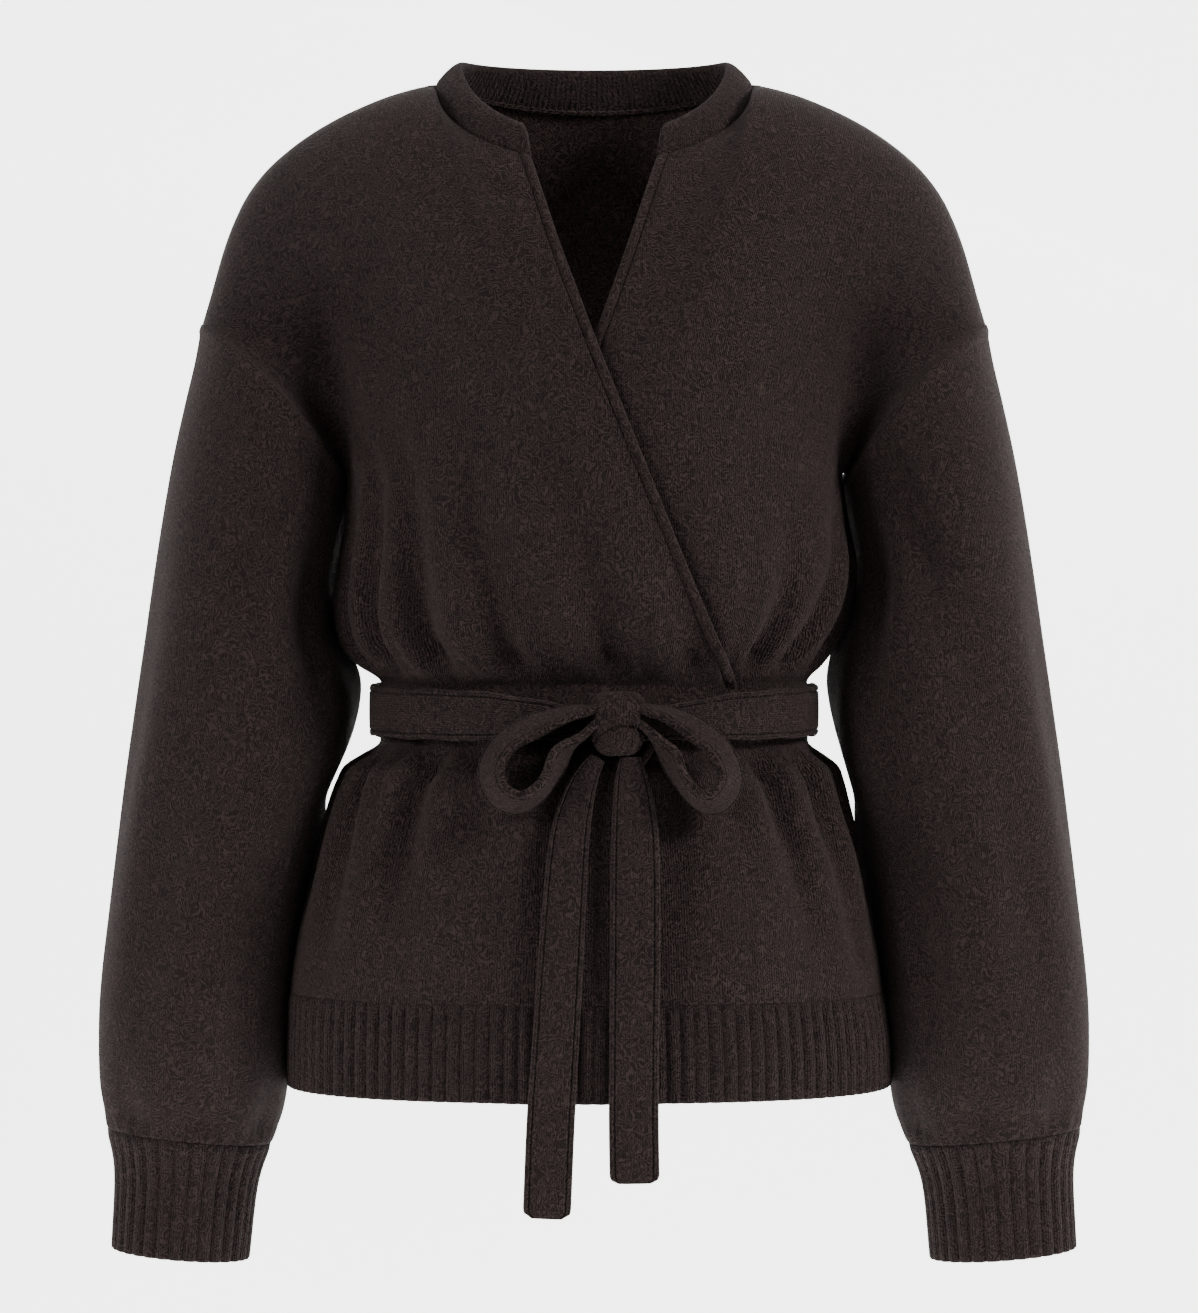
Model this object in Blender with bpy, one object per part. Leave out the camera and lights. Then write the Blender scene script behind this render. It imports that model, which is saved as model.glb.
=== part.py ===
"""Knitted wrap cardigan with a tie belt, hollow and filled out to its worn form.

X points to the wearer's left, Y to the back and Z up. The origin is the middle of the
neck's base, between the tops of the shoulders. The tables are in millimetres and
degrees; the meshes are in metres.
"""

import math

import bmesh
import bpy
import numpy as np

MM = 0.001

# Knit and seams
WALL = 2.6
SEAM_GAP = 0.3
ARMHOLE_GAP = 1.3
ARMHOLE_SWEEP = 6.5
FOLD_ONSET = 0.08
CUFF_GATHER_ONSET = 12.0
CREASE_REACH_DOWN = 40.0
FRONT_LIFT = 4.0
LIFT_START = 42.0
LIFT_RUN = 30.0
UNDER_DROP = 5.5
UNDER_START = 10.0

# Levels
HEM_BOTTOM = -593.0
RIB_TOP = -537.0
UNDERARM = -229.0
BODY_POWER = 2.3
BELT_POWER = 2.42

# Ribbing
RIB_CREST = 0.7
RIB_VALLEY = -0.9
CUFF_RIBS = 30
HEM_RIBS_FRONT = 31
HEM_RIBS_BACK = 54

# Neck and collar
NECK_HALF = 95.0
NECK_FRONT = 71.7
NECK_BACK = 62.0
NECK_END = 37.0
NECK_SLOPE = 0.755
NECK_SIDE_RISE = 6.0
NECK_BACK_LEVEL = -3.0
NECK_SHARE = 1 / 3
COLLAR_TOP_HALF = 80.5
COLLAR_TOP_FRONT = 67.0
COLLAR_TOP_BACK = 54.5
COLLAR_TOP = 22.0
COLLAR_TOP_SLOPE = 0.8
COLLAR_END_SHIFT = 3.5

# Front edges
TRIM_WIDTH = 7.0
TRIM_GAP = 0.8
OVER, UNDER = -1, 1

# Belt and bow
BELT_HEIGHT = 30.0
BELT_THICK = 5.0
BELT_LEVEL = -368.5
BELT_TILT = 0.025
BELT_CLEAR = 0.8
KNOT_CENTRE = (14.0, -115.8, -375.5)
KNOT_HALF = (15.5, 9.5, 18.5)

# Mesh steps
FRONT_COLUMNS = 26
BACK_COLUMNS = 30
CAP_ROWS = 9

KNIT_BROWN = (0.026, 0.018, 0.0165, 1.0)
RIB_BROWN = (0.020, 0.0135, 0.0125, 1.0)
BELT_BROWN = (0.024, 0.0165, 0.0152, 1.0)


def table(names, rows):
    """Named columns of numbers, one row for each section or fold."""
    return {name: np.array(values, float) for name, values in zip(names.split(), zip(*rows))}


# Level rings of the body, from the hem up to the underarm
BODY = table("height right left front back", [
    (-593, 183.0, 177.0, 124, 112),
    (-575, 183.0, 177.0, 124, 112),
    (-537, 182.0, 173.0, 123, 111),
    (-500, 177.0, 169.0, 120, 108),
    (-468, 171.0, 165.0, 117, 104),
    (-428, 161.0, 155.0, 112, 99),
    (-401, 149.0, 146.0, 107, 94),
    (-388, 128.5, 128.5, 96, 85),
    (-351, 127.7, 127.7, 95, 84),
    (-345, 138.0, 134.0, 103, 90),
    (-329, 153.0, 146.0, 113, 96),
    (-307, 157.0, 155.0, 119, 100),
    (-285, 154.0, 158.0, 121, 102),
    (-253, 149.0, 153.0, 122, 102),
    (-229, 148.0, 150.0, 120, 101),
])

# How far a front's slanted edge has passed the centre line
FRONT_EDGE = table("height past_centre", [
    (-593, 24), (-470, 24.5), (-430, 25.5), (-405, 28), (-388, 38), (-354, 82),
    (-323, 70), (-285, 54), (-229, 31), (-155, 1), (-116, -14), (-78, -27), (-44, -37),
])

# Shoulder line from the neck to the top of the sleeve seam
SHOULDER = table("side height", [
    (95, 6), (114, 2), (132, -3), (152, -8.5), (171, -15), (193, -27), (203, -39),
    (209, -51), (214, -63), (220, -87), (227, -111), (235, -138),
])

# Sleeve rings, each from its outer point to its inner point
SLEEVE = table("outer_height outer inner_height inner_right inner_left depth forward", [
    (-138, 235, -229, 148.0, 150.0, 65, 0),
    (-160, 239, -241, 149.6, 152.6, 66, 0),
    (-186, 245, -256, 151.5, 155.5, 66, 1),
    (-216, 251.5, -276, 155.5, 159.2, 66, 2),
    (-250, 257.5, -300, 159.2, 158.8, 65, 3),
    (-288, 263.5, -328, 156.8, 150.8, 64, 4),
    (-326, 269, -356, 145.5, 145.5, 63, 5),
    (-366, 275, -388, 147.0, 147.0, 62, 6),
    (-408, 281, -424, 161.8, 156.8, 60, 7),
    (-450, 286, -462, 171.3, 166.0, 58, 8),
    (-492, 290.5, -501, 179.2, 171.4, 56, 9),
    (-532, 294.5, -540, 184.0, 175.4, 54, 10),
    (-566, 296.5, -573, 185.2, 179.2, 52, 10),
    (-590, 296.5, -597, 185.4, 179.2, 49, 10),
    (-606, 294.0, -614, 188.6, 182.8, 45, 10),
    (-617.7, 290.5, -627.7, 193.4, 188.2, 41, 10),
])

CUFF = table("outer_height outer inner_height inner_right inner_left depth forward", [
    (-618.3, 290.2, -628.5, 193.6, 188.4, 41, 10),
    (-644, 285.8, -653, 201.5, 197.0, 36.0, 10),
    (-690, 287.5, -697, 206.8, 201.5, 35.5, 10),
])

# Troughs and ridges that the belt gathers, as lines on the body from the belt outwards.
# A minus depth is a ridge. Angle 0 is the centre front, 90 the wearer's left side.
FOLDS = table("angle height far_angle far_height depth half_width", [
    (-71, -350, -73, -245, 7.0, 5.0), (-56, -350, -58, -222, 9.0, 4.5),
    (-37, -350, -49, -218, 9.5, 5.5), (-17, -350, -38, -196, 7.5, 7.0),
    (5, -350, -20, -192, 6.0, 8.0), (25, -350, 4, -222, 5.0, 8.0),
    (42, -350, 46, -262, 9.0, 4.5), (54, -350, 73, -245, 9.5, 5.0),
    (72, -350, 86, -235, 7.5, 5.5),
    (99, -350, 103, -235, 8.0, 6.0), (121, -350, 115, -212, 9.0, 6.5),
    (144, -350, 148, -240, 8.0, 6.5), (166, -350, 159, -208, 9.0, 7.0),
    (-171, -350, -168, -228, 8.0, 7.0), (-148, -350, -154, -212, 9.0, 6.5),
    (-125, -350, -121, -238, 8.5, 6.5), (-101, -350, -107, -222, 8.0, 6.0),
    (-79, -389, -80, -475, 7.0, 5.0), (-64, -389, -57, -512, 9.5, 5.0),
    (-41, -389, -39, -500, 10.0, 5.5), (-26, -389, -25, -470, 5.0, 6.0),
    (-5, -389, -7, -470, 3.5, 8.0), (17, -389, 16, -485, 4.0, 8.0),
    (30, -389, 31, -470, 4.5, 5.5), (42, -389, 49, -510, 10.0, 5.0),
    (58, -389, 66, -512, 9.5, 5.5), (76, -389, 80, -485, 7.5, 5.5),
    (95, -389, 93, -505, 8.0, 6.5), (116, -389, 111, -518, 9.5, 7.0),
    (137, -389, 142, -495, 8.5, 7.0), (159, -389, 155, -520, 9.5, 7.5),
    (-178, -389, -177, -500, 8.0, 7.5), (-157, -389, -162, -518, 9.0, 7.0),
    (-136, -389, -131, -495, 9.5, 7.0), (-115, -389, -119, -515, 9.0, 7.0),
    (-97, -389, -96, -490, 7.0, 6.0),
])

# The crease where arm and chest meet: side and height of both ends
CHEST_CREASES = table("side height far_side far_height depth half_width", [
    (170, -96, 148, -226, 8.0, 16),
])

# Gathers of a sleeve above its cuff: place round the sleeve, reach and size
SLEEVE_FOLDS = table("turn reach depth half_width", [
    (0.08, 70, 4.0, 0.035), (0.22, 95, 3.5, 0.04), (0.36, 60, 4.0, 0.035),
    (0.50, 80, 3.0, 0.04), (0.64, 90, 3.5, 0.04), (0.80, 65, 4.0, 0.035),
    (0.93, 85, 3.5, 0.035),
])

BELT_RING = table("height right left front back", [
    (-400, 128.5, 128.5, 100.3, 85.0), (-340, 128.5, 128.5, 100.3, 85.0),
])

# Bow loops: the middle of the strap and its width on the way
BOW_LEFT_SIDE = table("side back height width", [
    (30.8, -117.0, -366.6, 16), (43, -117.4, -369.0, 21), (60, -119.5, -377.0, 26),
    (75, -124.0, -391.0, 28), (80.5, -127.0, -408.0, 28), (74, -129.5, -420.5, 28),
    (63.5, -129.5, -422.5, 28), (53, -127.5, -414.0, 28), (43, -122.5, -398.5, 26),
    (36, -118.5, -387.0, 20), (31.8, -116.5, -379.5, 15),
])
BOW_RIGHT_SIDE = table("side back height width", [
    (-3.0, -117.0, -366.6, 16), (-16, -117.4, -368.6, 21), (-36, -119.0, -375.0, 26),
    (-54, -123.0, -386.5, 28), (-61.5, -126.5, -403.0, 28), (-56, -129.0, -418.0, 28),
    (-43, -129.5, -423.0, 28), (-30, -128.5, -415.5, 28), (-20, -124.3, -400.0, 26),
    (-12, -119.5, -388.0, 20), (-3.6, -116.5, -379.5, 15),
])

# Hanging belt ends: the middle line and its width, from the knot down
END_RIGHT_SIDE = table("side back height width", [
    (2.5, -116.0, -395.0, 9), (-3.8, -116.8, -405, 14), (-10.0, -119.5, -422, 19.5),
    (-14.5, -124.0, -448, 23.5), (-18.5, -130.0, -505, 26), (-22, -132.4, -562, 27),
    (-24.5, -133.6, -602, 27.5), (-26.8, -134.0, -657, 27.5),
])
END_LEFT_SIDE = table("side back height width", [
    (21.0, -116.5, -394.8, 12), (21.5, -117.8, -405, 18), (22.8, -120.5, -422, 24),
    (23.6, -124.0, -448, 28), (23.6, -130.0, -505, 29), (23.0, -132.4, -562, 28.5),
    (22.8, -133.6, -602, 28.5), (23.3, -134.0, -637, 28.5),
])

# Cross sections of collar band, belt and strap
COLLAR_SECTION = table("rise out", [
    (0.03, 0.0), (0.3, 1.0), (0.75, 1.0), (0.96, 0.2), (1.0, -1.8), (0.96, -4.2),
    (0.7, -4.9), (0.03, -4.4),
])
BELT_SECTION = table("half_height out", [
    (-1.0, 1.6), (-0.9, 4.8), (0.0, BELT_THICK + BELT_CLEAR), (0.9, 4.8), (1.0, 1.6),
    (0.85, BELT_CLEAR), (-0.85, BELT_CLEAR),
])
STRAP_SECTION = table("half_width half_thick", [
    (-1.0, 0.0), (-0.88, 1.0), (0.88, 1.0), (1.0, 0.0), (0.88, -1.0), (-0.88, -1.0),
])

# Levels of the mesh rows
BODY_LEVELS = np.array([-536.7, -512, -485, -455, -430, -413, -402, -394, -387, -370,
                        -352, -345, -336, -322, -304, -280, -254, UNDERARM])
HEM_LEVELS = np.array([HEM_BOTTOM, RIB_TOP - SEAM_GAP])
CAP_STEPS = np.arange(1, CAP_ROWS + 1) / CAP_ROWS
NO_CAP = np.array([])


def read(rows, name, at, key="height"):
    """A column of a table at any place between its rows, smooth and never overshooting."""
    x, y = rows[key], rows[name]
    if x[0] > x[-1]:
        x, y = x[::-1], y[::-1]
    step, rise = np.diff(x), np.diff(y) / np.diff(x)
    slope = np.concatenate([rise[:1], np.zeros(len(x) - 2), rise[-1:]])
    same = rise[:-1] * rise[1:] > 0
    mean = 2 * rise[:-1] * rise[1:] / np.where(same, rise[:-1] + rise[1:], 1)
    slope[1:-1] = np.where(same, mean, 0)
    at = np.clip(at, x[0], x[-1])
    i = np.clip(np.searchsorted(x, at, side="right") - 1, 0, len(step) - 1)
    u, h = (at - x[i]) / step[i], step[i]
    return (y[i] * (1 + 2 * u) * (1 - u) ** 2 + y[i + 1] * u * u * (3 - 2 * u)
            + h * slope[i] * u * (1 - u) ** 2 - h * slope[i + 1] * u * u * (1 - u))


def smooth(rows, name, at):
    """A column of a table as a smooth curve through its rows, counted from 0."""
    values = rows[name]
    slope = np.gradient(values)
    i = np.clip(at.astype(int), 0, len(values) - 2)
    u = at - i
    return (values[i] * (1 + 2 * u) * (1 - u) ** 2 + values[i + 1] * u * u * (3 - 2 * u)
            + slope[i] * u * (1 - u) ** 2 - slope[i + 1] * u * u * (1 - u))


def smoothstep(value):
    value = np.clip(value, 0.0, 1.0)
    return value * value * (3 - 2 * value)


def mix(start, end, share):
    return start + (end - start) * share


def ring(rows, angle, height, power=BODY_POWER):
    """Point of a level ring: angle 0 at the centre front, pi / 2 at the wearer's left."""
    side, front = np.sin(angle), np.cos(angle)
    reach = (np.abs(side) ** power + np.abs(front) ** power) ** (-1 / power)
    half = np.where(side < 0, read(rows, "right", height), read(rows, "left", height))
    deep = np.where(front < 0, read(rows, "back", height), read(rows, "front", height))
    return half * reach * side, -deep * reach * front


def edge_angle(height, past):
    """Angle at which the body's ring is this far past the centre line."""
    angles = np.linspace(-math.pi / 2, math.pi / 2, 181)
    sides, _ = ring(BODY, angles, height)
    return np.interp(past, sides, angles)


def belt_folds(angle, height):
    """How far the gathers above and below the belt push the cloth out."""
    move = np.zeros(np.broadcast(angle, height).shape)
    degrees = np.degrees(angle)
    for a0, z0, a1, z1, depth, half in zip(*FOLDS.values()):
        run = (height - z0) / (z1 - z0)
        fade = smoothstep(run / FOLD_ONSET) * (1 - smoothstep(run)) * (run > 0)
        off = (degrees - mix(a0, a1, np.clip(run, 0, 1)) + 180) % 360 - 180
        move -= depth * fade * np.exp(-(off / half) ** 2)
    return move


def chest_creases(side, height):
    """How far the creases beside the arms push the cloth out."""
    move = np.zeros(np.broadcast(side, height).shape)
    for x0, z0, x1, z1, depth, half in zip(*CHEST_CREASES.values()):
        run = np.array([x1 - x0, z1 - z0])
        length = np.hypot(*run)
        along = ((np.abs(side) - x0) * run[0] + (height - z0) * run[1]) / length ** 2
        across = ((np.abs(side) - x0) * run[1] - (height - z0) * run[0]) / length
        fade = np.sin(np.pi * np.clip(along, 0, 1)) ** 2
        move -= depth * fade * np.exp(-(across / half) ** 2)
    return move


def arm_axis(side):
    """The armhole's outer and inner points, middle, and the way the sleeve leaves it."""
    name = "inner_left" if side > 0 else "inner_right"
    top = np.array([side * SLEEVE["outer"][0], 0.0, SLEEVE["outer_height"][0]])
    low = np.array([side * SLEEVE[name][0], 0.0, SLEEVE["inner_height"][0]])
    line = (top - low) / np.linalg.norm(top - low)
    away = np.array([side * abs(line[2]), 0.0, -abs(line[0])])
    return top, low, away


def armhole(side, turn):
    """Point of the armhole seam: turn 0 underarm, pi at the top, through the front."""
    top, low, away = arm_axis(side)
    turn = np.asarray(turn)[..., None]
    point = mix(low, top, (1 - np.cos(turn)) / 2)
    depth = np.array([0.0, -SLEEVE["depth"][0], 0.0])
    return point + depth * np.sin(turn) - away * ARMHOLE_SWEEP * np.abs(np.sin(turn)) ** 1.5


def armhole_outward(side, turn):
    """Which way the outer face looks along the armhole seam."""
    top, low, _ = arm_axis(side)
    turn = np.asarray(turn)[..., None]
    spoke = armhole(side, turn[..., 0]) - (top + low) / 2
    spoke /= np.linalg.norm(spoke, axis=-1, keepdims=True)
    down = np.array([0.0, 0.0, -1.0])
    near_underarm = (1 + np.cos(turn)) / 2
    way = mix(spoke, down, smoothstep((near_underarm - 0.75) / 0.25))
    return way / np.linalg.norm(way, axis=-1, keepdims=True)


def neck_seam(side, angle, front):
    """Point of the neck seam, angle 0 at the centre and pi / 2 at the shoulder."""
    x = side * NECK_HALF * np.sin(angle)
    if front:
        y = -NECK_FRONT * np.cos(angle)
        z = NECK_SIDE_RISE + NECK_SLOPE * y
    else:
        y = NECK_BACK * np.cos(angle)
        z = mix(NECK_BACK_LEVEL, NECK_SIDE_RISE, np.sin(angle) ** 2)
    return np.stack([x, y, z], axis=-1)


def shoulder_line(side, share):
    """Point of the shoulder line, share 0 at the neck and 1 at the sleeve seam."""
    steps = np.hypot(np.diff(SHOULDER["side"]), np.diff(SHOULDER["height"]))
    run = np.concatenate([[0.0], np.cumsum(steps)]) / steps.sum()
    x = np.interp(share, run, SHOULDER["side"])
    z = np.interp(share, run, SHOULDER["height"])
    return np.stack([side * x, np.zeros_like(x), z], axis=-1)


def upper_point(side, across, up, base_angle, start_angle, front):
    """Point above the underarm: across 0 at the centre or edge, 1 at the armhole."""
    x, y = ring(BODY, base_angle, UNDERARM)
    base = np.stack([x, y, np.full_like(x, UNDERARM)], axis=-1)
    to_neck = np.clip(across / NECK_SHARE, 0, 1)
    neck = neck_seam(side, mix(start_angle, math.pi / 2, to_neck), front)
    shoulder = shoulder_line(side, np.clip((across - NECK_SHARE) / (1 - NECK_SHARE), 0, 1))
    top = np.where((across < NECK_SHARE)[..., None], neck, shoulder)
    roundness = smoothstep(to_neck)
    rise = mix(up, np.sin(up * math.pi / 2), roundness)
    depth = (1 - rise ** 2).clip(0) ** mix(0.8, 0.5, roundness)
    spread = rise ** mix(1.0, 1.7, smoothstep(across / 0.7))
    arch = np.stack([mix(base[..., 0], top[..., 0], spread),
                     mix(top[..., 1], base[..., 1], depth),
                     mix(base[..., 2], top[..., 2], rise)], axis=-1)
    loop = armhole(side, up * math.pi if front else -up * math.pi)
    share = (np.clip((across - 0.4) / 0.6, 0, 1) ** 1.7)[..., None]
    return mix(arch, loop, share)


def outward(points, closed=False):
    """Unit normals of a grid of points, pointing away from the body's middle line."""
    if closed:
        points = np.concatenate([points[:, -1:], points, points[:, :1]], axis=1)
    up = np.gradient(points, axis=0)
    across = np.gradient(points, axis=1)
    way = np.cross(across, up)
    way /= np.linalg.norm(way, axis=-1, keepdims=True)
    return way[:, 1:-1] if closed else way


def half_grid(side, front, columns, insets, levels, cap_steps):
    """Points of half the front or back, rows from the hem up, columns out to the side."""
    def angles_at(height):
        if not front:
            return side * (math.pi - columns * math.pi / 2)
        past = read(FRONT_EDGE, "past_centre", height) - insets
        return mix(edge_angle(height, -side * past), side * math.pi / 2, columns)

    rows, angles = [], []
    for height in levels:
        angles.append(angles_at(height) + 0 * columns)
        x, y = ring(BODY, angles[-1], height)
        rows.append(np.stack([x, y, np.full_like(x, height)], axis=-1))
    start = np.arcsin((NECK_END + insets) / NECK_HALF) if front else 0.0
    for up in cap_steps:
        angles.append(angles_at(UNDERARM) + 0 * columns)
        rows.append(upper_point(side, columns, np.full_like(columns, up), angles[-1],
                                start, front))
    return np.array(rows), np.array(angles)


def seam_normals(way, side, front, columns, edge_column, levels, cap_steps):
    """Turn the normals at side seam, shoulder and armhole so that both pieces agree."""
    way[:len(levels), edge_column, 1] = 0.0
    if len(cap_steps):
        turn = np.concatenate([[0.0], cap_steps]) * math.pi * (1 if front else -1)
        way[len(levels) - 1:, edge_column] = armhole_outward(side, turn)
        shoulder = (columns if front else columns * side) > NECK_SHARE - 0.001
        way[-1, shoulder, 1] = 0.0
    return way / np.linalg.norm(way, axis=-1, keepdims=True)


def folded(points, angles, facing, strength=1.0):
    """Push a body grid in and out by its gathers and creases."""
    creases = chest_creases(points[..., 0], points[..., 2])
    creases = np.where(points[..., 2] > UNDERARM - CREASE_REACH_DOWN, creases, 0.0)
    move = belt_folds(angles, points[..., 2]) * strength + creases
    points = points + facing(points) * move[..., None]
    return points, facing(points)


def front_surface(side, columns, insets, levels=BODY_LEVELS, cap_steps=CAP_STEPS):
    """Outer face of a front and its normals, from its slanted edge to its side."""
    def facing(grid):
        way = side * outward(grid)
        if columns[-1] < 1:
            return way
        return seam_normals(way, side, True, columns, -1, levels, cap_steps)

    points, angles = half_grid(side, True, columns, insets, levels, cap_steps)
    past = read(FRONT_EDGE, "past_centre", points[..., 2])
    if side == OVER:
        points, way = folded(points, angles, facing)
        lift = FRONT_LIFT * smoothstep((points[..., 0] + past + LIFT_START) / LIFT_RUN)
    else:
        covered = smoothstep((past + UNDER_START - points[..., 0]) / LIFT_RUN)
        points, way = folded(points, angles, facing, 1 - covered / 2)
        lift = -UNDER_DROP * covered
    points = points + way * lift[..., None]
    points[..., 1] -= SEAM_GAP / 2
    return points, way


def back_surface(columns, levels=BODY_LEVELS, cap_steps=CAP_STEPS):
    """Outer face of the back and its normals, from the wearer's right to the left."""
    def facing(grid):
        way = -outward(grid)
        for side, edge_column in ((-1, 0), (1, -1)):
            way = seam_normals(way, side, False, columns, edge_column, levels, cap_steps)
        return way

    right = half_grid(-1, False, -columns[columns < 0], 0.0, levels, cap_steps)
    left = half_grid(1, False, columns[columns >= 0], 0.0, levels, cap_steps)
    points = np.concatenate([right[0], left[0]], axis=1)
    angles = np.concatenate([right[1], left[1]], axis=1)
    points, way = folded(points, angles, facing)
    points[..., 1] += SEAM_GAP / 2
    return points, way


def knit_material(name, colour):
    """Matte felted wool."""
    material = bpy.data.materials.new(name)
    material.use_nodes = True
    shader = material.node_tree.nodes["Principled BSDF"]
    shader.inputs["Base Color"].default_value = colour
    shader.inputs["Roughness"].default_value = 0.95
    shader.inputs["Metallic"].default_value = 0.0
    return material


def add_object(name, points, faces, colour):
    """A closed solid from points in millimetres, faces turned outwards and smooth."""
    mesh = bpy.data.meshes.new(name)
    mesh.from_pydata((np.asarray(points) * MM).tolist(), [], faces)
    shape = bmesh.new()
    shape.from_mesh(mesh)
    bmesh.ops.recalc_face_normals(shape, faces=shape.faces)
    shape.to_mesh(mesh)
    shape.free()
    mesh.shade_smooth()
    mesh.set_sharp_from_angle(angle=math.radians(50))
    mesh.materials.append(knit_material(name + "_knit", colour))
    piece = bpy.data.objects.new(name, mesh)
    bpy.context.collection.objects.link(piece)
    return piece


def add_wall(name, outer, inner, colour, closed=False):
    """A cloth wall between two grids. The outer one may have several columns to each
    column of the inner one, as ribs have over their plain inside."""
    rows, wide, narrow = len(outer), outer.shape[1], inner.shape[1]
    spans = narrow if closed else narrow - 1
    per_span = (wide if closed else wide - 1) // spans
    inner_start = rows * wide

    def out(row, column):
        return row * wide + column % wide

    def back(row, column):
        return inner_start + row * narrow + column % narrow

    faces = []
    for row in range(rows - 1):
        for column in range(spans * per_span):
            faces.append((out(row, column), out(row, column + 1),
                          out(row + 1, column + 1), out(row + 1, column)))
        for column in range(spans):
            faces.append((back(row, column), back(row + 1, column),
                          back(row + 1, column + 1), back(row, column + 1)))
        if not closed:
            faces.append((out(row, 0), out(row + 1, 0), back(row + 1, 0), back(row, 0)))
            faces.append((out(row, wide - 1), back(row, narrow - 1),
                          back(row + 1, narrow - 1), out(row + 1, wide - 1)))
    for row in (0, rows - 1):
        for span in range(spans):
            first = span * per_span
            crest = [out(row, column) for column in range(first, first + per_span + 1)]
            faces.append([back(row, span)] + crest + [back(row, span + 1)])
    points = np.concatenate([outer.reshape(-1, 3), inner.reshape(-1, 3)])
    return add_object(name, points, faces, colour)


def add_tube(name, rings, colour, loop=False):
    """A solid through closed rings of points, capped at its ends or joined in a loop."""
    count, around = rings.shape[:2]
    faces = []
    for row in range(count if loop else count - 1):
        for column in range(around):
            after = (column + 1) % around
            following = (row + 1) % count
            faces.append((row * around + column, row * around + after,
                          following * around + after, following * around + column))
    if not loop:
        faces.append(list(range(around)))
        faces.append([(count - 1) * around + column for column in range(around)])
    return add_object(name, rings.reshape(-1, 3), faces, colour)


def make_fronts():
    """Right front over left front, each with a narrow knitted trim along its edge."""
    panel_inset = TRIM_WIDTH + TRIM_GAP
    columns = np.linspace(0, 1, FRONT_COLUMNS + 1)
    for side, word in ((OVER, "right"), (UNDER, "left")):
        points, way = front_surface(side, columns, panel_inset)
        beside_edge = panel_inset + np.array([-0.5, 0.0, 0.5]) * TRIM_WIDTH
        edge_points, edge_way = front_surface(side, np.zeros(3), beside_edge)
        points[:, 0], way[:, 0] = edge_points[:, 1], edge_way[:, 1]
        add_wall("front_" + word, points, points - way * WALL, KNIT_BROWN)
        insets = np.array([0.0, 0.5, 1.0]) * TRIM_WIDTH
        levels = np.concatenate([[HEM_BOTTOM], BODY_LEVELS])
        points, way = front_surface(side, np.zeros(3), insets, levels)
        crown = np.array([-0.6, 0.6, -0.6])[:, None]
        hollow = np.array([-2.2, -2.5, -2.2])[:, None]
        add_wall("trim_" + word, points + way * crown, points + way * hollow, KNIT_BROWN)


def make_back():
    columns = np.linspace(-1, 1, BACK_COLUMNS + 1)
    points, way = back_surface(columns)
    add_wall("back", points, points - way * WALL, KNIT_BROWN)


def rib_columns(ribs, start, end):
    """Places of each rib's valley and its crest's two sides."""
    places = (np.arange(ribs)[:, None] + np.array([0.0, 0.28, 0.72])).ravel() / ribs
    return mix(start, end, np.append(places, 1.0))


def rib_relief(columns):
    relief = np.where(np.arange(columns) % 3 == 0, RIB_VALLEY, RIB_CREST)
    return relief[:, None]


def make_hem():
    """Ribs below each of the three panels, raised over a plain inside."""
    panel_inset = TRIM_WIDTH + TRIM_GAP
    for side, word in ((OVER, "right"), (UNDER, "left")):
        columns = rib_columns(HEM_RIBS_FRONT, 0, 1)
        points, way = front_surface(side, columns, panel_inset, HEM_LEVELS, NO_CAP)
        outer = points + way * rib_relief(len(columns))
        inner = (points - way * WALL)[:, ::3]
        add_wall("hem_" + word, outer, inner, RIB_BROWN)
    columns = rib_columns(HEM_RIBS_BACK, -1, 1)
    points, way = back_surface(columns, HEM_LEVELS, NO_CAP)
    outer = points + way * rib_relief(len(columns))
    add_wall("hem_back", outer, (points - way * WALL)[:, ::3], RIB_BROWN)


def sleeve_surface(rows, side, turns):
    """Rings of a sleeve or cuff, each from its inner point at turn 0 to its outer at pi."""
    inner_name = "inner_left" if side > 0 else "inner_right"
    rings = []
    for index in range(len(rows["outer"])):
        high = np.array([side * rows["outer"][index], 0.0, rows["outer_height"][index]])
        low = np.array([side * rows[inner_name][index], 0.0, rows["inner_height"][index]])
        points = mix(low, high, (1 - np.cos(turns))[:, None] / 2)
        points[:, 1] -= rows["depth"][index] * np.sin(turns) + rows["forward"][index]
        rings.append(points)
    return np.array(rings)


def sleeve_folds(side, turns, points):
    """How far the gathers above the cuff push the sleeve in."""
    share = turns / (2 * math.pi)
    above_cuff = points[..., 2] - points[-1:, :, 2]
    move = np.zeros(points.shape[:2])
    for turn, reach, depth, half in zip(*SLEEVE_FOLDS.values()):
        off = (share - turn + 0.5) % 1 - 0.5
        fade = smoothstep(above_cuff / CUFF_GATHER_ONSET) * (1 - smoothstep(above_cuff / reach))
        move -= depth * fade * np.exp(-(off / half) ** 2)
    return move


def make_sleeves():
    for side, word in ((-1, "right"), (1, "left")):
        turns = np.arange(2 * CAP_ROWS) * math.pi / CAP_ROWS
        points = sleeve_surface(SLEEVE, side, turns)
        away = arm_axis(side)[2]
        points[0] = armhole(side, turns) + away * ARMHOLE_GAP
        way = -side * outward(points, closed=True)
        points = points + way * sleeve_folds(side, turns, points)[..., None]
        way = -side * outward(points, closed=True)
        way[0] = armhole_outward(side, turns)
        add_wall("sleeve_" + word, points, points - way * WALL, KNIT_BROWN, closed=True)

        turns = rib_columns(CUFF_RIBS, 0, 2 * math.pi)[:-1]
        points = sleeve_surface(CUFF, side, turns)
        way = -side * outward(points, closed=True)
        outer = points + way * rib_relief(len(turns))
        inner = (points - way * WALL)[:, ::3]
        add_wall("cuff_" + word, outer, inner, RIB_BROWN, closed=True)


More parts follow.
